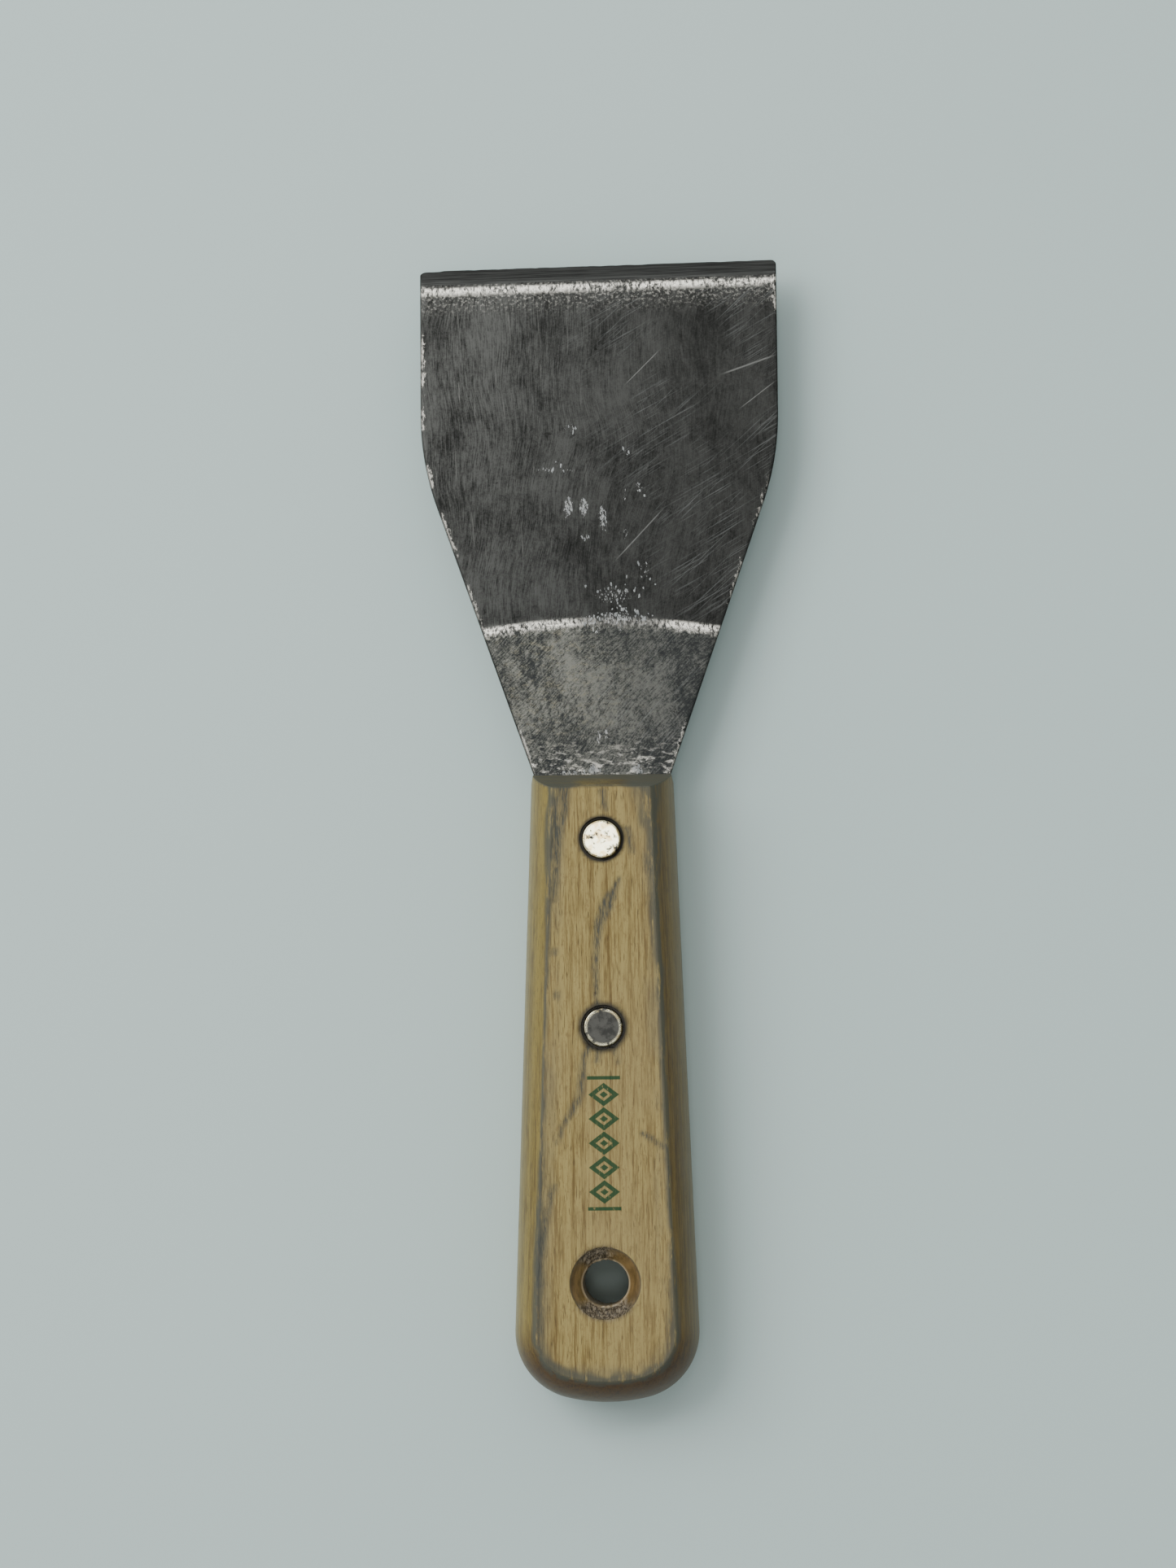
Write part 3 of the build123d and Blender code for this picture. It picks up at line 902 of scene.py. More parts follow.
class KNIFE_OT_blade(bpy.types.Operator):
    """Build the ground steel blade with its tang"""

    bl_idname = "knife.blade"
    bl_label = "Blade"

    def execute(self, context):
        s = context.scene.knife_blade
        shape = BladeShape(s)
        blade = blade_mesh(shape)
        for y in RIVET_Y.values():
            hole = context.scene.knife_handle.shank_hole
            reach = BLADE_HIGH[2] - BLADE_LOW[2]
            profile = [(0, MID_Z - reach), (hole, MID_Z - reach), (hole, MID_Z + reach), (0, MID_Z + reach)]
            cut(blade, lathe("drill", profile, FACE_Y + y, 48))
        points = places(blade.data)
        reach = np.array([shape.half_width(y) for y in points[:, 1] - FACE_Y])
        keep_mask(blade.data, "rim", (reach - np.abs(points[:, 0])) / MM)
        blade.data.shade_smooth()
        blade.data.set_sharp_from_angle(angle=radians(30))
        blade.data.materials.append(steel_material(s))
        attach(blade, BODY)
        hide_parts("blade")
        return {"FINISHED"}


def cut(piece, cutter):
    """Cuts one closed mesh out of a piece, and removes the cutter."""
    modifier = piece.modifiers.new("cut", "BOOLEAN")
    modifier.operation = "DIFFERENCE"
    modifier.solver = "MANIFOLD"
    modifier.object = cutter
    apply_modifiers(piece)
    bpy.data.objects.remove(cutter)


def apply_modifiers(piece):
    """Makes the piece's modifiers part of its mesh."""
    graph = bpy.context.evaluated_depsgraph_get()
    made = bpy.data.meshes.new_from_object(piece.evaluated_get(graph))
    made.materials.clear()
    piece.modifiers.clear()
    old = piece.data
    name = old.name
    piece.data = made
    bpy.data.meshes.remove(old)
    made.name = name


# ------------------------------------------------------------------ dried filler

FILLER_SPOTS = [
    # x, distance from the handle's face, half width, half length, flakes
    (-6.6, 57.5, 0.9, 2.4, 10),
    (-3.3, 57.3, 1.0, 2.2, 9),
    (0.5, 55, 0.9, 2.6, 9),
    (-3.3, 51, 1.2, 0.6, 3),
    (-8, 66, 4.5, 1.4, 6),
    (-6.2, 74.4, 1.6, 1.0, 4),
    (6, 69, 1.5, 1.5, 3),
    (8, 61, 1.6, 2.4, 4),
    (8, 43, 4.5, 2.5, 8),
    (4, 38.5, 6, 2.5, 20),
    (3.8, 34.6, 3.4, 1.4, 22),
    (-2, 33.2, 2.6, 1.2, 10),
    (8, 33.5, 3.0, 1.2, 9),
    (-1.8, 1.3, 1.2, 0.9, 9),
    (7.4, 1.4, 0.9, 0.8, 7),
    (-6.5, 0.8, 3.6, 0.3, 6),
]


def flake(centre, size, tilt, dice, thickness):
    """Points and faces of one thin flake with a ragged outline, its top drawn in."""
    count = 9
    turns = (np.arange(count) + dice.uniform(-0.3, 0.3, count)) * 2 * pi / count
    reach = dice.uniform(0.55, 1.2, count)
    x = size[0] * reach * np.cos(turns)
    y = size[1] * reach * np.sin(turns)
    px = centre[0] + x * cos(tilt) - y * sin(tilt)
    py = centre[1] + x * sin(tilt) + y * cos(tilt)
    inner_x = centre[0] + (px - centre[0]) * 0.8
    inner_y = centre[1] + (py - centre[1]) * 0.8
    low = np.full(count, centre[2] - thickness)
    top = np.full(count, centre[2] + thickness)
    layers = [(px, py, low), (px, py, low + thickness), (inner_x, inner_y, top)]
    points = np.concatenate([np.column_stack(layer) for layer in layers])
    rings = [list(range(k * count, (k + 1) * count)) for k in range(3)]
    faces = [rings[0][::-1], rings[2]]
    faces += strip(rings[0], rings[1], closed=True) + strip(rings[1], rings[2], closed=True)
    return points, faces


def filler_material(s):
    """Chalky dried filler, smeared grey."""
    material, graph, shader = new_material("dried_filler")
    place = graph.own_place()
    tone = graph.noise(place, 1500.0, detail=3.0).step(0.35, 0.65)
    base = graph.mix(tone, (0.24, 0.255, 0.255), s.white)
    normal = graph.bump(graph.noise(place, 4000.0), 0.4, 0.05 * MM)
    graph.fill(shader, Base_Color=base, Roughness=graph.blend(tone, 0.6, 0.85), Normal=normal)
    return material


class KNIFE_OT_filler(bpy.types.Operator):
    """Scatter flakes of dried filler over the blade"""

    bl_idname = "knife.filler"
    bl_label = "Dried filler"

    def execute(self, context):
        s = context.scene.knife_filler
        shape = BladeShape(context.scene.knife_blade)
        blade = bpy.data.objects["blade_steel"]
        dice = np.random.default_rng(s.seed)
        points, faces = [], []
        for x, past, half_width, half_length, count in FILLER_SPOTS:
            for _ in range(count):
                px = (x + half_width * np.clip(dice.normal(0, 0.5), -1.2, 1.2)) * MM
                py = (past + half_length * np.clip(dice.normal(0, 0.5), -1.2, 1.2)) * MM
                if not 0.3 * MM < py < shape.edge_middle or abs(px) > shape.half_width(py) - 0.8 * MM:
                    continue
                small = dice.uniform(0.09, 0.26) * MM
                size = (small, small * dice.uniform(1.0, 3.0))
                hit, where, _, _ = blade.ray_cast((px, py + FACE_Y, MID_Z + 1), (0, 0, -1))
                if not hit:
                    raise RuntimeError("a flake of filler misses the blade")
                flake_points, flake_faces = flake(where, size, dice.uniform(-0.3, 0.5), dice, s.thickness / 2)
                faces += [[n + len(points) for n in f] for f in flake_faces]
                points += list(flake_points)
        filler = new_piece("dried_filler", points, faces, radians(60))
        filler.data.materials.append(filler_material(s))
        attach(filler, BODY)
        return {"FINISHED"}


# ------------------------------------------------------------------ handle


class HandleShape:
    """The handle's outline and the section of its moulded sides. Places are measured from its front face."""

    def __init__(self, sizes):
        self.s = sizes
        self.half = HANDLE_HIGH[2] - MID_Z
        self.length = FACE_Y - HANDLE_LOW[1]
        self.bulge_radius = (self.half**2 + sizes.side_bulge**2) / (2 * sizes.side_bulge)
        self.outline = self.make_outline()
        self.tree = KDTree(len(self.outline))
        for n, (x, y, _, _) in enumerate(self.outline):
            self.tree.insert((x, y, 0), n)
        self.tree.balance()

    def make_outline(self):
        """Half the outline at mid-thickness, front to end: x, y and the outward direction."""
        s = self.s
        front, butt = s.front_width / 2, s.butt_width / 2
        end_centre = -self.length + s.butt_radius
        chord_y = end_centre - sqrt(s.butt_radius**2 - butt**2)
        lean = (butt - front) / chord_y
        side_out = Vector((1, -lean)).normalized()
        # the corner's centre lies one corner radius in from the side, and on a circle about the end's centre
        reach = s.butt_radius - s.butt_corner
        offset = front * side_out.x - s.butt_corner
        base = Vector((0, end_centre))
        along = Vector((-side_out.y, side_out.x))
        level = offset - base.dot(side_out)
        corner = base + side_out * level - along * sqrt(reach**2 - level**2)
        start = corner + side_out * s.butt_corner
        rows = [(front + lean * y, y, *side_out) for y in spaced(2 * MM, start.y, 0.46 * MM)]
        angle_start = atan2(side_out.y, side_out.x)
        meeting = corner - base
        angle_end = atan2(meeting.y, meeting.x)
        for angle in spaced(angle_start, angle_end, 0.42 * MM / s.butt_corner)[1:]:
            out = Vector((cos(angle), sin(angle)))
            rows.append((*(corner + out * s.butt_corner), *out))
        for angle in spaced(angle_end, -pi / 2, 0.42 * MM / s.butt_radius)[1:]:
            out = Vector((cos(angle), sin(angle)))
            rows.append((*(base + out * s.butt_radius), *out))
        rows[-1] = (0.0, rows[-1][1], 0.0, -1.0)
        return rows

    def section(self):
        """The upper half of a side's section, from mid-thickness to the flat: (inset, height) points."""
        s, r = self.s, self.bulge_radius
        # the arris is rounded by an arc that touches the bulge and the flat
        centre_z = self.half - s.arris_radius
        centre_in = r - sqrt((r - s.arris_radius) ** 2 - centre_z**2)
        touch = asin(centre_z / (r - s.arris_radius))
        side = [(r - r * cos(a), r * sin(a)) for a in spaced(0, touch, 0.55 * MM / r)]
        arc = [
            (centre_in - s.arris_radius * cos(a), centre_z + s.arris_radius * sin(a))
            for a in np.linspace(touch, pi / 2, 6)[1:]
        ]
        return side + arc

    def from_arris(self, points):
        """Distance of each point from the arris: positive over the flat, negative over the side."""
        plan = np.array([self.tree.find((abs(p[0]), p[1] - FACE_Y, 0))[2] for p in points])
        height = np.minimum(np.abs(points[:, 2] - MID_Z), self.half)
        r = self.bulge_radius
        over_side = -r * (asin(self.half / r) - np.arcsin(height / r))
        on_flat = height > self.half - 0.05 * MM
        return np.where(on_flat, np.maximum(0, plan - self.s.side_bulge), over_side)


def handle_skin(shape):
    """The handle's outer skin as one closed mesh, before anything is cut into it."""
    section = shape.section()
    flat_in = section[-1][0]
    across = 27
    side = [(inset, -height) for inset, height in section[:0:-1]] + section
    points, rows = [], []
    for x, y, out_x, out_y in shape.outline:
        right = [(x - out_x * inset, y - out_y * inset, height) for inset, height in side]
        flat_x, flat_y = x - out_x * flat_in, y - out_y * flat_in
        top = [(flat_x * (1 - 2 * k / across), flat_y, shape.half) for k in range(1, across)]
        left = [(-px, py, pz) for px, py, pz in right[::-1]]
        bottom = [(-px, py, -pz) for px, py, pz in top]
        ring = right + top + left + bottom
        rows.append(list(range(len(points), len(points) + len(ring))))
        points += [(px, py + FACE_Y, pz + MID_Z) for px, py, pz in ring]
    faces = []
    for first, second in zip(rows, rows[1:]):
        faces += strip(first, second, closed=True)
    faces.append(rows[0][::-1])
    faces.append(rows[-1])
    skin = new_piece("handle_wood", points, faces)
    weld = skin.modifiers.new("weld", "WELD")
    weld.merge_threshold = 0.001 * MM
    apply_modifiers(skin)
    return skin


def wedge(name, outline, axis, reach):
    """A prism along X or Z from a closed outline of two coordinates, in the order of the other two axes."""
    points = []
    for side in (-reach, reach):
        for a, b in outline:
            points.append((side, a, b) if axis == "X" else (a, b, side))
    count = len(outline)
    low, high = list(range(count)), list(range(count, 2 * count))
    faces = [low[::-1], high, *strip(low, high, closed=True)]
    piece = new_piece(name, points, faces)
    piece.data.transform(Matrix.Translation((0, FACE_Y, MID_Z)))
    return piece


def facing_out(piece):
    """Turns a closed mesh's faces outwards."""
    mesh = bmesh.new()
    mesh.from_mesh(piece.data)
    bmesh.ops.recalc_face_normals(mesh, faces=mesh.faces)
    mesh.to_mesh(piece.data)
    mesh.free()
    return piece


def handle_cutters(shape):
    """Everything that is cut into the handle."""
    s, half = shape.s, shape.half
    past = 3 * MM
    slope = s.nose_height / s.nose_length
    low = half - s.nose_height
    above = [
        (past, low - slope * past),
        (past, half + slope * past),
        (-s.nose_length - past, half + slope * past),
    ]
    tall = 2 * half
    cutters = [wedge("front", [(0, -tall), (0, tall), (2 * past, tall), (2 * past, -tall)], "X", tall)]
    for sign in (1, -1):
        cutters.append(wedge("nose", [(a, sign * b) for a, b in above], "X", tall))
    side, flare = s.front_width / 2, s.nose_side_width / s.nose_side_length
    corner = [
        (side - s.nose_side_width - flare * past, past),
        (side + flare * past, -s.nose_side_length - past),
        (side + past, past),
    ]
    for sign in (1, -1):
        cutters.append(wedge("corner", [(sign * a, b) for a, b in corner], "Z", tall))
    top, bottom = MID_Z + half + past, MID_Z - half - past
    rivets = bpy.context.scene.knife_rivets
    floor_gap = rivets.head_thickness + rivets.head_recess
    for y in RIVET_Y.values():
        upper_floor, lower_floor = MID_Z + half - floor_gap, MID_Z - half + floor_gap
        profile = [
            (0, bottom), (s.well_radius, bottom), (s.well_radius, lower_floor), (s.shank_hole, lower_floor),
            (s.shank_hole, upper_floor), (s.well_radius, upper_floor), (s.well_radius, top), (0, top),
        ]
        cutters.append(lathe("well", profile, FACE_Y + y, 112))
    spread = (s.flare_width / 2 - HOLE_RADIUS) / s.flare_depth
    wide = HOLE_RADIUS + spread * (s.flare_depth + past)
    throat = half - s.flare_depth
    flare_profile = refined(
        [(wide, bottom), (HOLE_RADIUS, MID_Z - throat), (HOLE_RADIUS, MID_Z + throat), (wide, top)], 0.4 * MM
    )
    cutters.append(lathe("hang", [(0, bottom), *flare_profile, (0, top)], FACE_Y + HOLE_Y, 128))
    kerf = [(s.saw_radius, MID_Z - s.kerf_width / 2), (s.saw_radius, MID_Z + s.kerf_width / 2)]
    kerf = [(0, kerf[0][1]), *kerf, (0, kerf[1][1])]
    cutters.append(lathe("kerf", kerf, FACE_Y + s.saw_radius - s.kerf_depth, 480))
    return cutters


STAIN_PATHS = [
    # chains of (x, distance from the handle's face, half width) in millimetres, over the upper flat
    [(3.4, -22.4, 0.05), (2.3, -25, 0.5), (1.1, -27.6, 0.9), (-0.4, -31.5, 0.7), (-1.2, -36, 0.45),
     (-1.6, -41, 0.35), (-1.4, -48.4, 0.4)],
    [(-2.7, -56.8, 0.4), (-3.8, -59.5, 0.4), (-4.1, -63.1, 0.5), (-5.3, -68, 0.35), (-6.5, -70.7, 0.25),
     (-8.9, -74.5, 0.15), (-9.5, -77.2, 0.05)],
    [(-10.3, -85.8, 0.1), (-11.9, -92.3, 0.3), (-13.2, -97.7, 0.4), (-13.5, -106, 0.4)],
    [(-7.5, -3.8, 0.9), (-7.5, -8.2, 0.4), (-8.8, -13, 0.4), (-9.6, -20, 0.3), (-10, -27, 0.2)],
    [(-9.6, -6, 0.3), (-9.9, -18, 0.3)],
    [(0.5, -4.4, 0.4), (0.8, -8.2, 0.05)],
    [(5.5, -12.2, 0.25), (6.4, -16.9, 0.15)],
    [(7.8, -75.1, 0.05), (10, -76.4, 0.2), (12.5, -78.2, 0.1)],
    [(-1.0, -57.6, 0.2), (-1.3, -60.4, 0.05)],
    [(2.3, -57.2, 0.25), (2.9, -60.6, 0.05)],
    [(-9.9, -37.2, 0.15), (-9.9, -38, 0.1)],
    [(-9.6, -46.2, 0.15), (-9.6, -47.1, 0.1)],
]
GRIME_WIDTHS = [
    # distance from the handle's face, half width of the grime along the left and the right arris
    (0, 1.6, 3.4),
    (10, 1.4, 2.6),
    (20, 1.1, 1.9),
    (35, 0.6, 1.2),
    (60, 0.35, 0.7),
    (80, 0.45, 0.55),
    (95, 1.1, 0.5),
    (115, 1.3, 1.3),
    (123, 1.7, 1.7),
    (128, 0.9, 0.5),
    (131, 0.3, 0.3),
]


def handle_masks(shape, points):
    """The masks of wear that the handle's mesh holds, by name."""
    x, y = points[:, 0], points[:, 1] - FACE_Y
    height = points[:, 2] - MID_Z
    arris = shape.from_arris(points)
    behind = -y / MM
    table = np.array(GRIME_WIDTHS)
    left = np.interp(behind, table[:, 0], table[:, 1])
    right = np.interp(behind, table[:, 0], table[:, 2])
    width = np.where(x < 0, left, right) * MM
    ragged = 1 + 0.55 * lumps(points * (1, 0.35, 1), 1.6 * MM, shape.s.seed)
    grime = fade(np.abs(arris + 0.15 * MM), 1.4 * width * ragged, 0.5 * width * ragged)
    stain = np.zeros(len(points))
    upper = height > shape.half - 2.5 * MM
    for path in STAIN_PATHS:
        chain = [(px * MM, py * MM, w * MM) for px, py, w in path]
        wander = 0.35 * MM * lumps(points * (1, 0.3, 1), 2.2 * MM, shape.s.seed + 5)
        gap = near_path(x + wander, y, chain)
        stain = np.maximum(stain, fade(gap, 0.85 * MM, -0.15 * MM))
    stain = stain * upper
    turn = np.arctan2(y - HOLE_Y, x)
    from_hole = np.hypot(x, y - HOLE_Y)
    steep = fade(np.abs(np.sin(turn)), 0.45, 0.8) * np.where(turn > 0, fade(-x, -4 * MM, 0.5 * MM), 1)
    steep = np.where(height > 0, steep, fade(np.abs(np.sin(turn + 0.3)), 0.5, 0.85))
    torn = fade(from_hole, shape.s.flare_width / 2 + 1.1 * MM, shape.s.flare_width / 2 - 0.6 * MM) * steep
    torn = torn * (np.abs(height) > shape.half - shape.s.flare_depth - 0.6 * MM)
    rings = np.zeros(len(points))
    for name, ry in RIVET_Y.items():
        wide = 0.75 * MM if name == "front" else 1.3 * MM
        gap = np.hypot(x, y - ry) - shape.s.well_radius
        rings = np.maximum(rings, fade(gap, wide, 0.05 * MM))
    nose = shape.s.nose_length * (np.abs(height) - shape.half + shape.s.nose_height) / shape.s.nose_height
    nose = fade(y + nose, -0.35 * MM, -0.1 * MM)
    return {"arris": arris / MM, "grime": grime, "stain": stain, "torn": torn, "rings": rings, "nose": nose}


def wear_handle(shape, mesh):
    """Dents, torn fibres, chipped wells and open cracks, as moves of the mesh's points."""
    points, out = places(mesh), places(mesh, "normal")
    masks = handle_masks(shape, points)
    seed = shape.s.seed
    along_grain = points * (1, 0.14, 1)
    y = points[:, 1] - FACE_Y
    dent = np.clip(lumps(points * (1, 0.5, 1), 2.6 * MM, seed + 1) - 0.25, 0, 1)
    near_arris = np.exp(-((masks["arris"] / 0.9) ** 2))
    depth = 0.30 * MM * near_arris * dent
    depth += 0.02 * MM * (lumps(along_grain, 1.1 * MM, seed + 2) + 1) * (np.abs(masks["arris"]) > 0.2)
    crack = np.clip(lumps(along_grain, 0.55 * MM, seed + 3), 0, 1)
    depth += masks["stain"] * (0.06 + 0.3 * crack) * MM
    torn_rough = 0.55 * lumps(along_grain, 0.55 * MM, seed + 4) + 0.35 * lumps(points, 0.5 * MM, seed + 6)
    depth += masks["torn"] * (0.12 + 0.5 * torn_rough) * MM
    chipped = masks["rings"] * np.clip(lumps(points * (1, 0.4, 1), 0.8 * MM, seed + 7), 0, 1)
    inside_well = np.zeros(len(points), bool)
    for ry in RIVET_Y.values():
        inside_well |= np.hypot(points[:, 0], y - ry) < shape.s.well_radius + 0.02 * MM
    depth += np.where(inside_well, 0, 0.3 * MM * chipped)
    in_kerf = np.abs(points[:, 2] - MID_Z) < 1.2 * MM
    moved = points - out * np.where(in_kerf, 0, depth)[:, None]
    moved[:, 2] = np.maximum(moved[:, 2], HANDLE_LOW[2])
    move_to(mesh, moved)
    for name, values in masks.items():
        keep_mask(mesh, name, values)


def ornament(graph, x, y, height, shape):
    """A printed row of five lozenges, each with a dot in it, between two short rules on the upper flat."""
    middle, pitch, half_width = FACE_Y - 77.2 * MM, 5.0 * MM, 3.3 * MM
    from_middle = y - middle
    along = graph.math("PINGPONG", from_middle, pitch / 2) * (2 / pitch)
    across = abs(x) * (1 / half_width)
    lozenge = along + across
    ring = lozenge.step(1.0, 0.94) * lozenge.step(0.5, 0.56)
    dot = lozenge.step(0.3, 0.24)
    from_end = abs(from_middle) - 2.5 * pitch
    inside = from_end.step(0.1 * MM, -0.1 * MM)
    rule = abs(from_end - 0.95 * MM).step(0.42 * MM, 0.32 * MM)
    rule = rule * across.step(1.08, 1.0)
    on_top = height.step(shape.half - 0.6 * MM, shape.half - 0.3 * MM)
    return graph.total(graph.total(ring, dot) * inside, rule) * on_top


# shades of the wood and of what marks it; the two shaded lacquers multiply the wood's own colour: browner
# lacquer with painted shade on the right side, and lacquer with painted shade at the butt
PORE, FLECK, CLOUD = (0.085, 0.055, 0.02), (0.19, 0.125, 0.045), (0.27, 0.205, 0.105)
RIGHT_SHADED_LACQUER, BUTT_SHADED_LACQUER = (0.4, 0.33, 0.145), (0.2, 0.1, 0.008)
DIRT_FILM, STAIN, NOSE_GREY = (0.115, 0.117, 0.088), (0.06, 0.064, 0.054), (0.078, 0.082, 0.064)
TORN_DARK, TORN_LIGHT = (0.045, 0.035, 0.022), (0.2, 0.165, 0.11)
FLARE_DARK, FLARE_LIGHT, THROAT = (0.085, 0.052, 0.017), (0.2, 0.125, 0.045), (0.36, 0.29, 0.18)
WELL_DIRT, DOT = (0.03, 0.028, 0.02), (0.04, 0.03, 0.02)


def wood_material(s, shape):
    """Straight-grained hardwood: worn bare on the flats, lacquered on the sides, grubby at the edges."""
    material, graph, shader = new_material("worn_hardwood")
    place = graph.own_place()
    x, y, z = graph.parts(place)
    height = z - MID_Z
    past = y - FACE_Y
    arris = graph.mask("arris")

    bend = graph.stretched(place, (40, 9, 40), 2.0)
    warped = graph.vector("ADD", place, graph.joined(X=bend * (6 * MM)))
    ring_place = graph.stretch(warped, (1, 0.02, 1), 0.0, (21 * MM, 0, -46 * MM))
    ring_x, _, ring_z = graph.parts(ring_place)
    ring_radius = graph.length_of(graph.joined(X=ring_x, Y=ring_z))
    uneven = graph.noise(graph.joined(X=ring_radius * 260.0), 1.0)
    rings = graph.math("FRACT", ring_radius * 560.0 + uneven * 3.0)
    late = rings.step(0.35, 0.92) * rings.step(1.0, 0.95)
    fibre = graph.stretched(place, (2600, 130, 2600), 4.0, 0.7)
    streak = graph.stretched(place, (420, 7, 420), 3.0)
    pores = graph.stretched(place, (4200, 330, 4200), 1.0).step(0.62, 0.74)
    flecked = graph.stretched(place, (1800, 700, 1800), 3.0, 0.7)

    fine_lines = graph.stretched(place, (1500, 22, 1500), 4.0, 0.7)
    tone = late * 0.16 + streak.step(0.35, 0.7) * 0.25
    tone = tone + fine_lines.step(0.36, 0.68) * 0.25 + fibre.step(0.38, 0.64) * 0.42
    wood = graph.mix(tone.step(0.2, 0.97), s.pale, s.dark)
    wood = graph.mix(pores * 0.7, wood, PORE)
    wood = graph.mix(flecked.step(0.52, 0.7) * 0.55, wood, FLECK)
    cloud = graph.noise(graph.stretch(place, (1, 0.5, 1)), 55.0, detail=3.0).step(0.35, 0.7)
    wood = graph.mix(cloud * 0.3, wood, CLOUD)

    on_side = arris.step(0.1, -0.8)
    at_butt = past.step(-shape.length + 19 * MM, -shape.length + 6 * MM)
    lacquered = graph.vector("MULTIPLY", wood, s.lacquer)
    # the right side is browner lacquer and darker with painted shade
    right_side_shaded = graph.vector("MULTIPLY", wood, RIGHT_SHADED_LACQUER)
    lacquered = graph.mix(x.step(-2 * MM, 6 * MM), lacquered, right_side_shaded)
    # the butt's lacquer is darker and browner with painted shade
    butt_shaded = graph.vector("MULTIPLY", wood, BUTT_SHADED_LACQUER)
    lacquered = graph.mix(at_butt * 0.95, lacquered, butt_shaded)
    base = graph.mix(on_side, wood, lacquered)

    ragged = graph.stretched(place, (900, 160, 900), 4.0, 0.7)
    ragged_fine = graph.stretched(place, (3600, 500, 3600), 2.0)
    grime = graph.mask("grime") * ragged.step(0.3, 0.5)
    stain = graph.mask("stain")
    strand = ragged_fine.step(0.42, 0.62)
    stained = stain * (strand * 0.45 + 0.55)
    nose = graph.mask("nose")
    # the front bevel is darkened grey in streaks across it, less so on a patch in its middle
    across_nose = graph.stretched(place, (160, 1400, 900), 4.0, 0.7)
    lighter_patch = abs(x).step(7 * MM, 3 * MM) * past.step(-1.0 * MM, -2.0 * MM)
    nose_darkening = nose * (across_nose + 0.42 - lighter_patch * 0.55)
    torn = graph.mask("torn")

    film = abs(arris - 1.0).step(3.2, 0.6)
    patchy = graph.noise(graph.stretch(place, (1, 0.3, 1)), 190.0, detail=4.0, roughness=0.65)
    film = film * patchy.step(0.38, 0.6) * 0.3
    base = graph.mix(film, base, DIRT_FILM)
    base = graph.mix(grime * 0.85, base, s.grime)
    base = graph.mix(stained * 0.95, base, STAIN)
    base = graph.mix(graph.math("MINIMUM", nose_darkening, 0.95), base, NOSE_GREY)
    torn_tone = graph.mix(strand, TORN_DARK, TORN_LIGHT)
    base = graph.mix(torn, base, torn_tone)
    from_hole = graph.length_of(graph.joined(X=x, Y=past - HOLE_Y))
    in_flare = from_hole.step(s.flare_width / 2 + 0.1 * MM, s.flare_width / 2 - 0.5 * MM)
    amber = graph.mix(ragged.step(0.35, 0.65), FLARE_DARK, FLARE_LIGHT)
    base = graph.mix(in_flare * (1.0 - torn) * 0.8, base, amber)
    in_throat = from_hole.step(HOLE_RADIUS + 0.5 * MM, HOLE_RADIUS + 0.1 * MM)
    base = graph.mix(in_throat * 0.85, base, THROAT)
    base = graph.mix(graph.mask("rings") * 0.9, base, WELL_DIRT)
    dots = specks(graph, graph.stretch(place, (1, 0.6, 1)), 520.0, 0.2, 4.0)
    base = graph.mix(dots * 0.75, base, DOT)

    worn_ink = graph.stretched(place, (1600, 700, 1), 4.0, 0.75)
    ink = ornament(graph, x, y, height, shape) * worn_ink.step(0.3, 0.42)
    base = graph.mix(ink * 0.93, base, s.ink)

    sealed = on_side * (1.0 - grime) * (1.0 - graph.math("MINIMUM", nose, 1.0))
    smudge = graph.noise(place, 120.0, detail=3.0)
    roughness = graph.blend(sealed, graph.blend(smudge, 0.5, 0.72), 0.4)
    coat = sealed * graph.blend(smudge, 0.1, 0.35) * graph.blend(at_butt, 1.0, 0.4)
    shader.inputs["Coat Roughness"].default_value = 0.28
    shader.inputs["Specular IOR Level"].default_value = 0.28

    relief = fibre * 0.5 + late * -0.15 - pores * 0.7
    relief = relief - graph.total(stained, torn) * strand * 1.2
    normal = graph.bump(relief * graph.blend(on_side, 1.0, 0.4), 0.6, 0.08 * MM)
    graph.fill(shader, Base_Color=base, Roughness=roughness, Coat_Weight=coat, Normal=normal)
    return material


class KNIFE_OT_handle(bpy.types.Operator):
    """Build the worn wooden handle"""

    bl_idname = "knife.handle"
    bl_label = "Handle"

    def execute(self, context):
        s = context.scene.knife_handle
        shape = HandleShape(s)
        handle = facing_out(handle_skin(shape))
        for cutter in handle_cutters(shape):
            cut(handle, facing_out(cutter))
        wear_handle(shape, handle.data)
        handle.data.shade_smooth()
        handle.data.set_sharp_from_angle(angle=radians(38))
        handle.data.materials.append(wood_material(s, shape))
        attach(handle, BODY)
        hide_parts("handle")
        return {"FINISHED"}


# ------------------------------------------------------------------ rivets


def head_profile(s, floor):
    """The visible head of a rivet, from the middle of its top to its underside."""
    top = floor + s.head_thickness
    flat = s.head_radius - s.head_edge
    profile = refined([(0, top), (flat - 0.1 * MM, top)], 0.3 * MM)
    profile += [(flat, top - 0.01 * MM), (s.head_radius - 0.04 * MM, top - s.head_edge + 0.03 * MM)]
    return profile + [(s.head_radius, top - s.head_edge - 0.05 * MM), (s.head_radius, floor)]


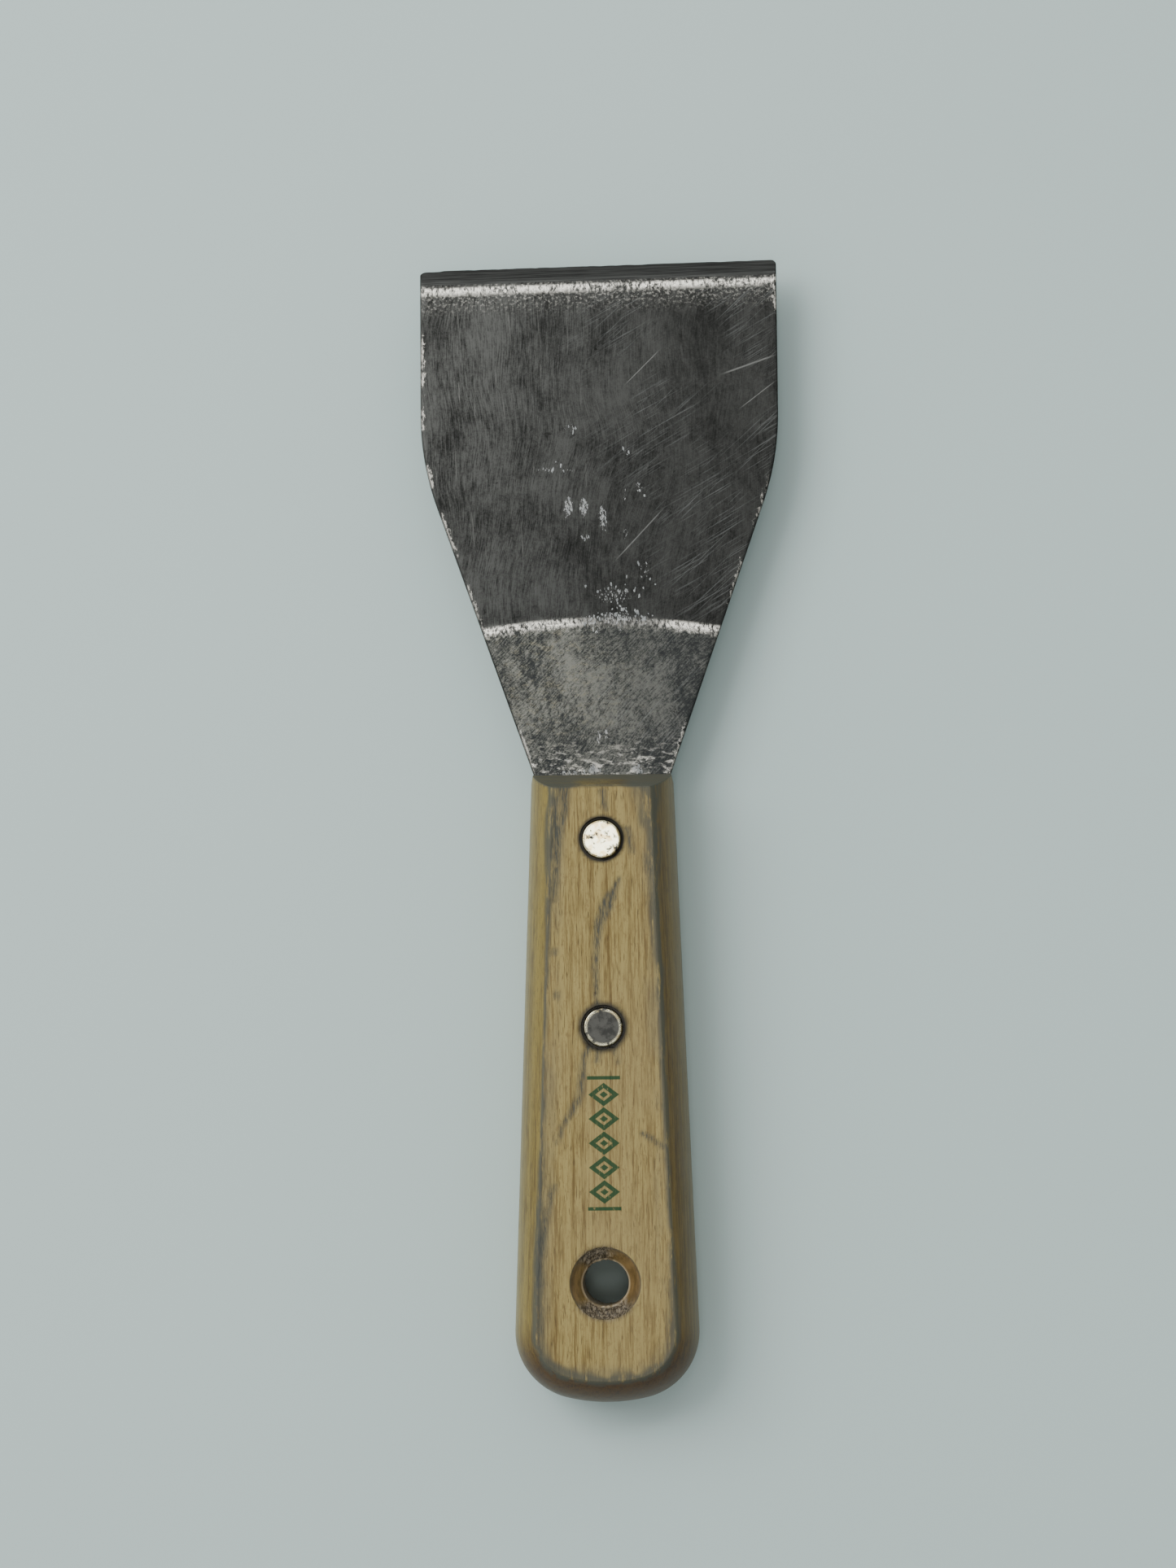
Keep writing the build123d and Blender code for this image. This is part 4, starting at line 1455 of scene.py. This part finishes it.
def rivet_material(name, s, y, tarnish, seed):
    """Plated steel, more or less tarnished, rubbed bright along its rim."""
    material, graph, shader = new_material(name)
    place = graph.own_place()
    cloud = graph.noise(place, 420.0, detail=4.0, roughness=0.7)
    tint = graph.noise(place, 700.0, detail=3.0)
    level = graph.vector("MULTIPLY", graph.vector("SUBTRACT", place, (0, FACE_Y + y, 0)), (1, 1, 0))
    from_axis = graph.length_of(level)
    rim = from_axis.step(s.head_radius - 0.95 * MM, s.head_radius - 0.55 * MM)
    rim = rim * graph.noise(place, 800.0).step(0.34, 0.5)
    dull = graph.math("ADD", cloud.step(0.54, 0.64), tarnish * 1.1, clamp=True)
    dull = graph.math("SUBTRACT", dull, rim * (tarnish * 0.75), clamp=True)
    bright = graph.mix(tint.step(0.47, 0.6), s.plating, (0.68, 0.56, 0.3))
    dark = graph.mix(cloud.step(0.4, 0.65), s.tarnish, tuple(c * 0.55 for c in s.tarnish))
    base = graph.mix(dull, bright, dark)
    pits = specks(graph, place, 1300.0, 0.42, seed)
    base = graph.mix(pits * 0.7, base, (0.05, 0.048, 0.04))
    marks = scratches(graph, place, radians(8), 2400.0, 240.0, 0.4, seed)
    base = graph.mix(marks * 0.4, base, (0.6, 0.58, 0.52))
    roughness = graph.blend(graph.total(dull, pits), 0.16, 0.36)
    normal = graph.bump(cloud - graph.total(pits, marks * 0.4), 0.12, 0.05 * MM)
    graph.fill(shader, Base_Color=base, Roughness=roughness, Metallic=1.0, Normal=normal)
    return material


class KNIFE_OT_rivets(bpy.types.Operator):
    """Build the two compression rivets, each a post in a tube"""

    bl_idname = "knife.rivets"
    bl_label = "Rivets"

    def execute(self, context):
        s = context.scene.knife_rivets
        half = HANDLE_HIGH[2] - MID_Z
        floor = half - s.head_thickness - s.head_recess
        tip, mouth = -floor + s.post_gap, floor - s.tube_gap
        post = head_profile(s, floor) + [(s.post_radius, floor), (s.post_radius, tip), (0, tip)]
        wide, narrow = s.tube_radius, s.post_radius
        tube = [(wide, floor), (wide, -mouth), (narrow, -mouth), (narrow, floor)]
        cap = head_profile(s, floor) + tube + [(0, floor)]
        cap = [(r, -z) for r, z in cap]
        # the rear rivet's heavier tarnish is partly real tarnish and partly painted dark reflection, where it
        # misses the lamp's reflection
        finishes = {"front": (0.0, 5.0), "rear": (0.9, 9.0)}
        for where, y in RIVET_Y.items():
            tarnish, seed = finishes[where]
            for part, profile, dull in (("post", post, tarnish), ("cap", cap, 0.5)):
                lifted = [(r, z + MID_Z) for r, z in profile]
                rivet = facing_out(lathe(f"{part}_{where}", lifted, FACE_Y + y, 96))
                points, out = places(rivet.data), places(rivet.data, "normal")
                dents = lumps(points, 1.5 * MM, int(seed)) * (np.abs(out[:, 2]) > 0.8)
                move_to(rivet.data, points + out * (0.006 * MM * dents)[:, None])
                rivet.data.materials.append(rivet_material(f"{part}_{where}_plating", s, y, dull, seed))
                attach(rivet, BODY)
                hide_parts(f"rivet_{part}_{where}")
        return {"FINISHED"}


# ------------------------------------------------------------------ stage


def floor_material(s):
    """Pale matt floor with a faint unevenness."""
    material, graph, shader = new_material("pale_floor")
    place = graph.own_place()
    tone = graph.noise(place, 9.0, detail=3.0)
    darker = tuple(c * 0.97 for c in s.floor_colour)
    graph.fill(shader, Base_Color=graph.mix(tone, darker, s.floor_colour), Roughness=0.7)
    return material


def area_light(name, place, aim, size, power, tint=(1, 1, 1)):
    """A soft square light."""
    data = bpy.data.lights.new(name, "AREA")
    data.shape = "RECTANGLE"
    data.size, data.size_y = size
    data.energy = power
    data.color = tint
    light = bpy.data.objects.new(name, data)
    light.location = place
    light.rotation_mode = "QUATERNION"
    light.rotation_quaternion = (Vector(aim) - Vector(place)).to_track_quat("-Z", "Y")
    bpy.context.scene.collection.objects.link(light)
    return light


def studio_world():
    """Pale surroundings: brighter to the upper left, dimmer straight above and to the lower right."""
    world = bpy.data.worlds.new("studio")
    bpy.context.scene.world = world
    world.use_nodes = True
    world.node_tree.nodes.clear()
    graph = Graph(world.node_tree)
    x, y, up = graph.parts(graph.add("ShaderNodeTexCoord").outputs["Generated"])
    towards = y * 0.62 - x * 0.78
    lower_right, upper_left = (0.3, 0.32, 0.32), (1.0, 1.0, 1.0)
    horizon, above_horizon, overhead = (0.4, 0.47, 0.46), (0.82, 0.86, 0.86), (0.17, 0.175, 0.17)
    sides = graph.mix(towards.step(-0.8, 0.6), lower_right, upper_left)
    low = graph.mix(up.step(0.0, 0.16), horizon, above_horizon)
    raised = graph.mix(up.step(0.16, 0.45), low, sides)
    tint = graph.mix(up.step(0.74, 0.95), raised, overhead)
    light = graph.add("ShaderNodeBackground", Color=tint, Strength=1.0)
    graph.add("ShaderNodeOutputWorld", Surface=light.outputs[0])


class KNIFE_OT_stage(bpy.types.Operator):
    """Set the floor, the soft lights and the camera"""

    bl_idname = "knife.stage"
    bl_label = "Stage"

    def execute(self, context):
        s = context.scene.knife_stage
        reach = s.floor_size / 2
        corners = [(-reach, -reach, 0), (reach, -reach, 0), (reach, reach, 0), (-reach, reach, 0)]
        floor = new_piece("floor", corners, [(0, 1, 2, 3)])
        floor.data.materials.append(floor_material(s))
        studio_world()
        middle = Vector((0, 0, MID_Z))
        area_light("window", (-0.74, 0.46, 1.05), middle, (0.8, 0.8), 10)
        area_light("strip", (-0.12, 0.42, 1.15), middle, (1.0, 0.16), 1.8)
        area_light("lamp", (-0.036, 0.092, 1.2), middle, (0.085, 0.085), 0.27)
        hole = Vector((0, FACE_Y + HOLE_Y, MID_Z))
        area_light("fill", hole + Vector((0.0, -0.15, 1.15)), hole, (0.2, 0.2), 0.75)
        camera = bpy.data.objects.new("camera", bpy.data.cameras.new("camera"))
        camera.data.lens = s.lens
        camera.data.clip_start, camera.data.clip_end = 0.01, 100
        camera.location = middle + Vector(s.camera_place)
        look = Vector(s.camera_aim) - Vector(s.camera_place)
        camera.rotation_mode = "QUATERNION"
        camera.rotation_quaternion = camera_turn(look, s.camera_roll)
        context.scene.collection.objects.link(camera)
        context.scene.camera = camera
        return {"FINISHED"}


def camera_turn(look, roll):
    """The camera's turn, to look along look with +Y upwards in the picture, rolled clockwise by roll."""
    forward = look.normalized()
    right = forward.cross(Vector((0, 1, 0))).normalized()
    upward = right.cross(forward)
    rolled_right = right * cos(roll) - upward * sin(roll)
    rolled_up = right * sin(roll) + upward * cos(roll)
    return Matrix((rolled_right, rolled_up, -forward)).transposed().to_quaternion()


# ------------------------------------------------------------------ panel and start

OPERATORS = (KNIFE_OT_blade, KNIFE_OT_filler, KNIFE_OT_handle, KNIFE_OT_rivets, KNIFE_OT_stage)
SETTINGS = {
    "knife_blade": BladeSettings,
    "knife_filler": FillerSettings,
    "knife_handle": HandleSettings,
    "knife_rivets": RivetSettings,
    "knife_stage": StageSettings,
}


class KNIFE_PT_panel(bpy.types.Panel):
    """Buttons and settings of the putty knife"""

    bl_label = "Putty knife"
    bl_idname = "KNIFE_PT_panel"
    bl_space_type = "VIEW_3D"
    bl_region_type = "UI"
    bl_category = "Putty knife"

    def draw(self, context):
        for operator, name in zip(OPERATORS, SETTINGS):
            box = self.layout.box()
            box.operator(operator.bl_idname)
            group = getattr(context.scene, name)
            for prop in group.bl_rna.properties:
                if prop.identifier not in ("rna_type", "name"):
                    box.prop(group, prop.identifier)


def register():
    """Makes the settings, the operators and the panel known to Blender."""
    for group in SETTINGS.values():
        bpy.utils.register_class(group)
    for name, group in SETTINGS.items():
        setattr(bpy.types.Scene, name, PointerProperty(type=group))
    for operator in OPERATORS:
        bpy.utils.register_class(operator)
    bpy.utils.register_class(KNIFE_PT_panel)


def unregister():
    """Takes them away again."""
    bpy.utils.unregister_class(KNIFE_PT_panel)
    for operator in reversed(OPERATORS):
        bpy.utils.unregister_class(operator)
    for name in SETTINGS:
        delattr(bpy.types.Scene, name)
    for group in SETTINGS.values():
        bpy.utils.unregister_class(group)


def main():
    """Builds the pieces and the stage in order."""
    register()
    bpy.ops.knife.blade()
    bpy.ops.knife.filler()
    bpy.ops.knife.handle()
    bpy.ops.knife.rivets()
    bpy.ops.knife.stage()


if __name__ == "__main__":
    main()
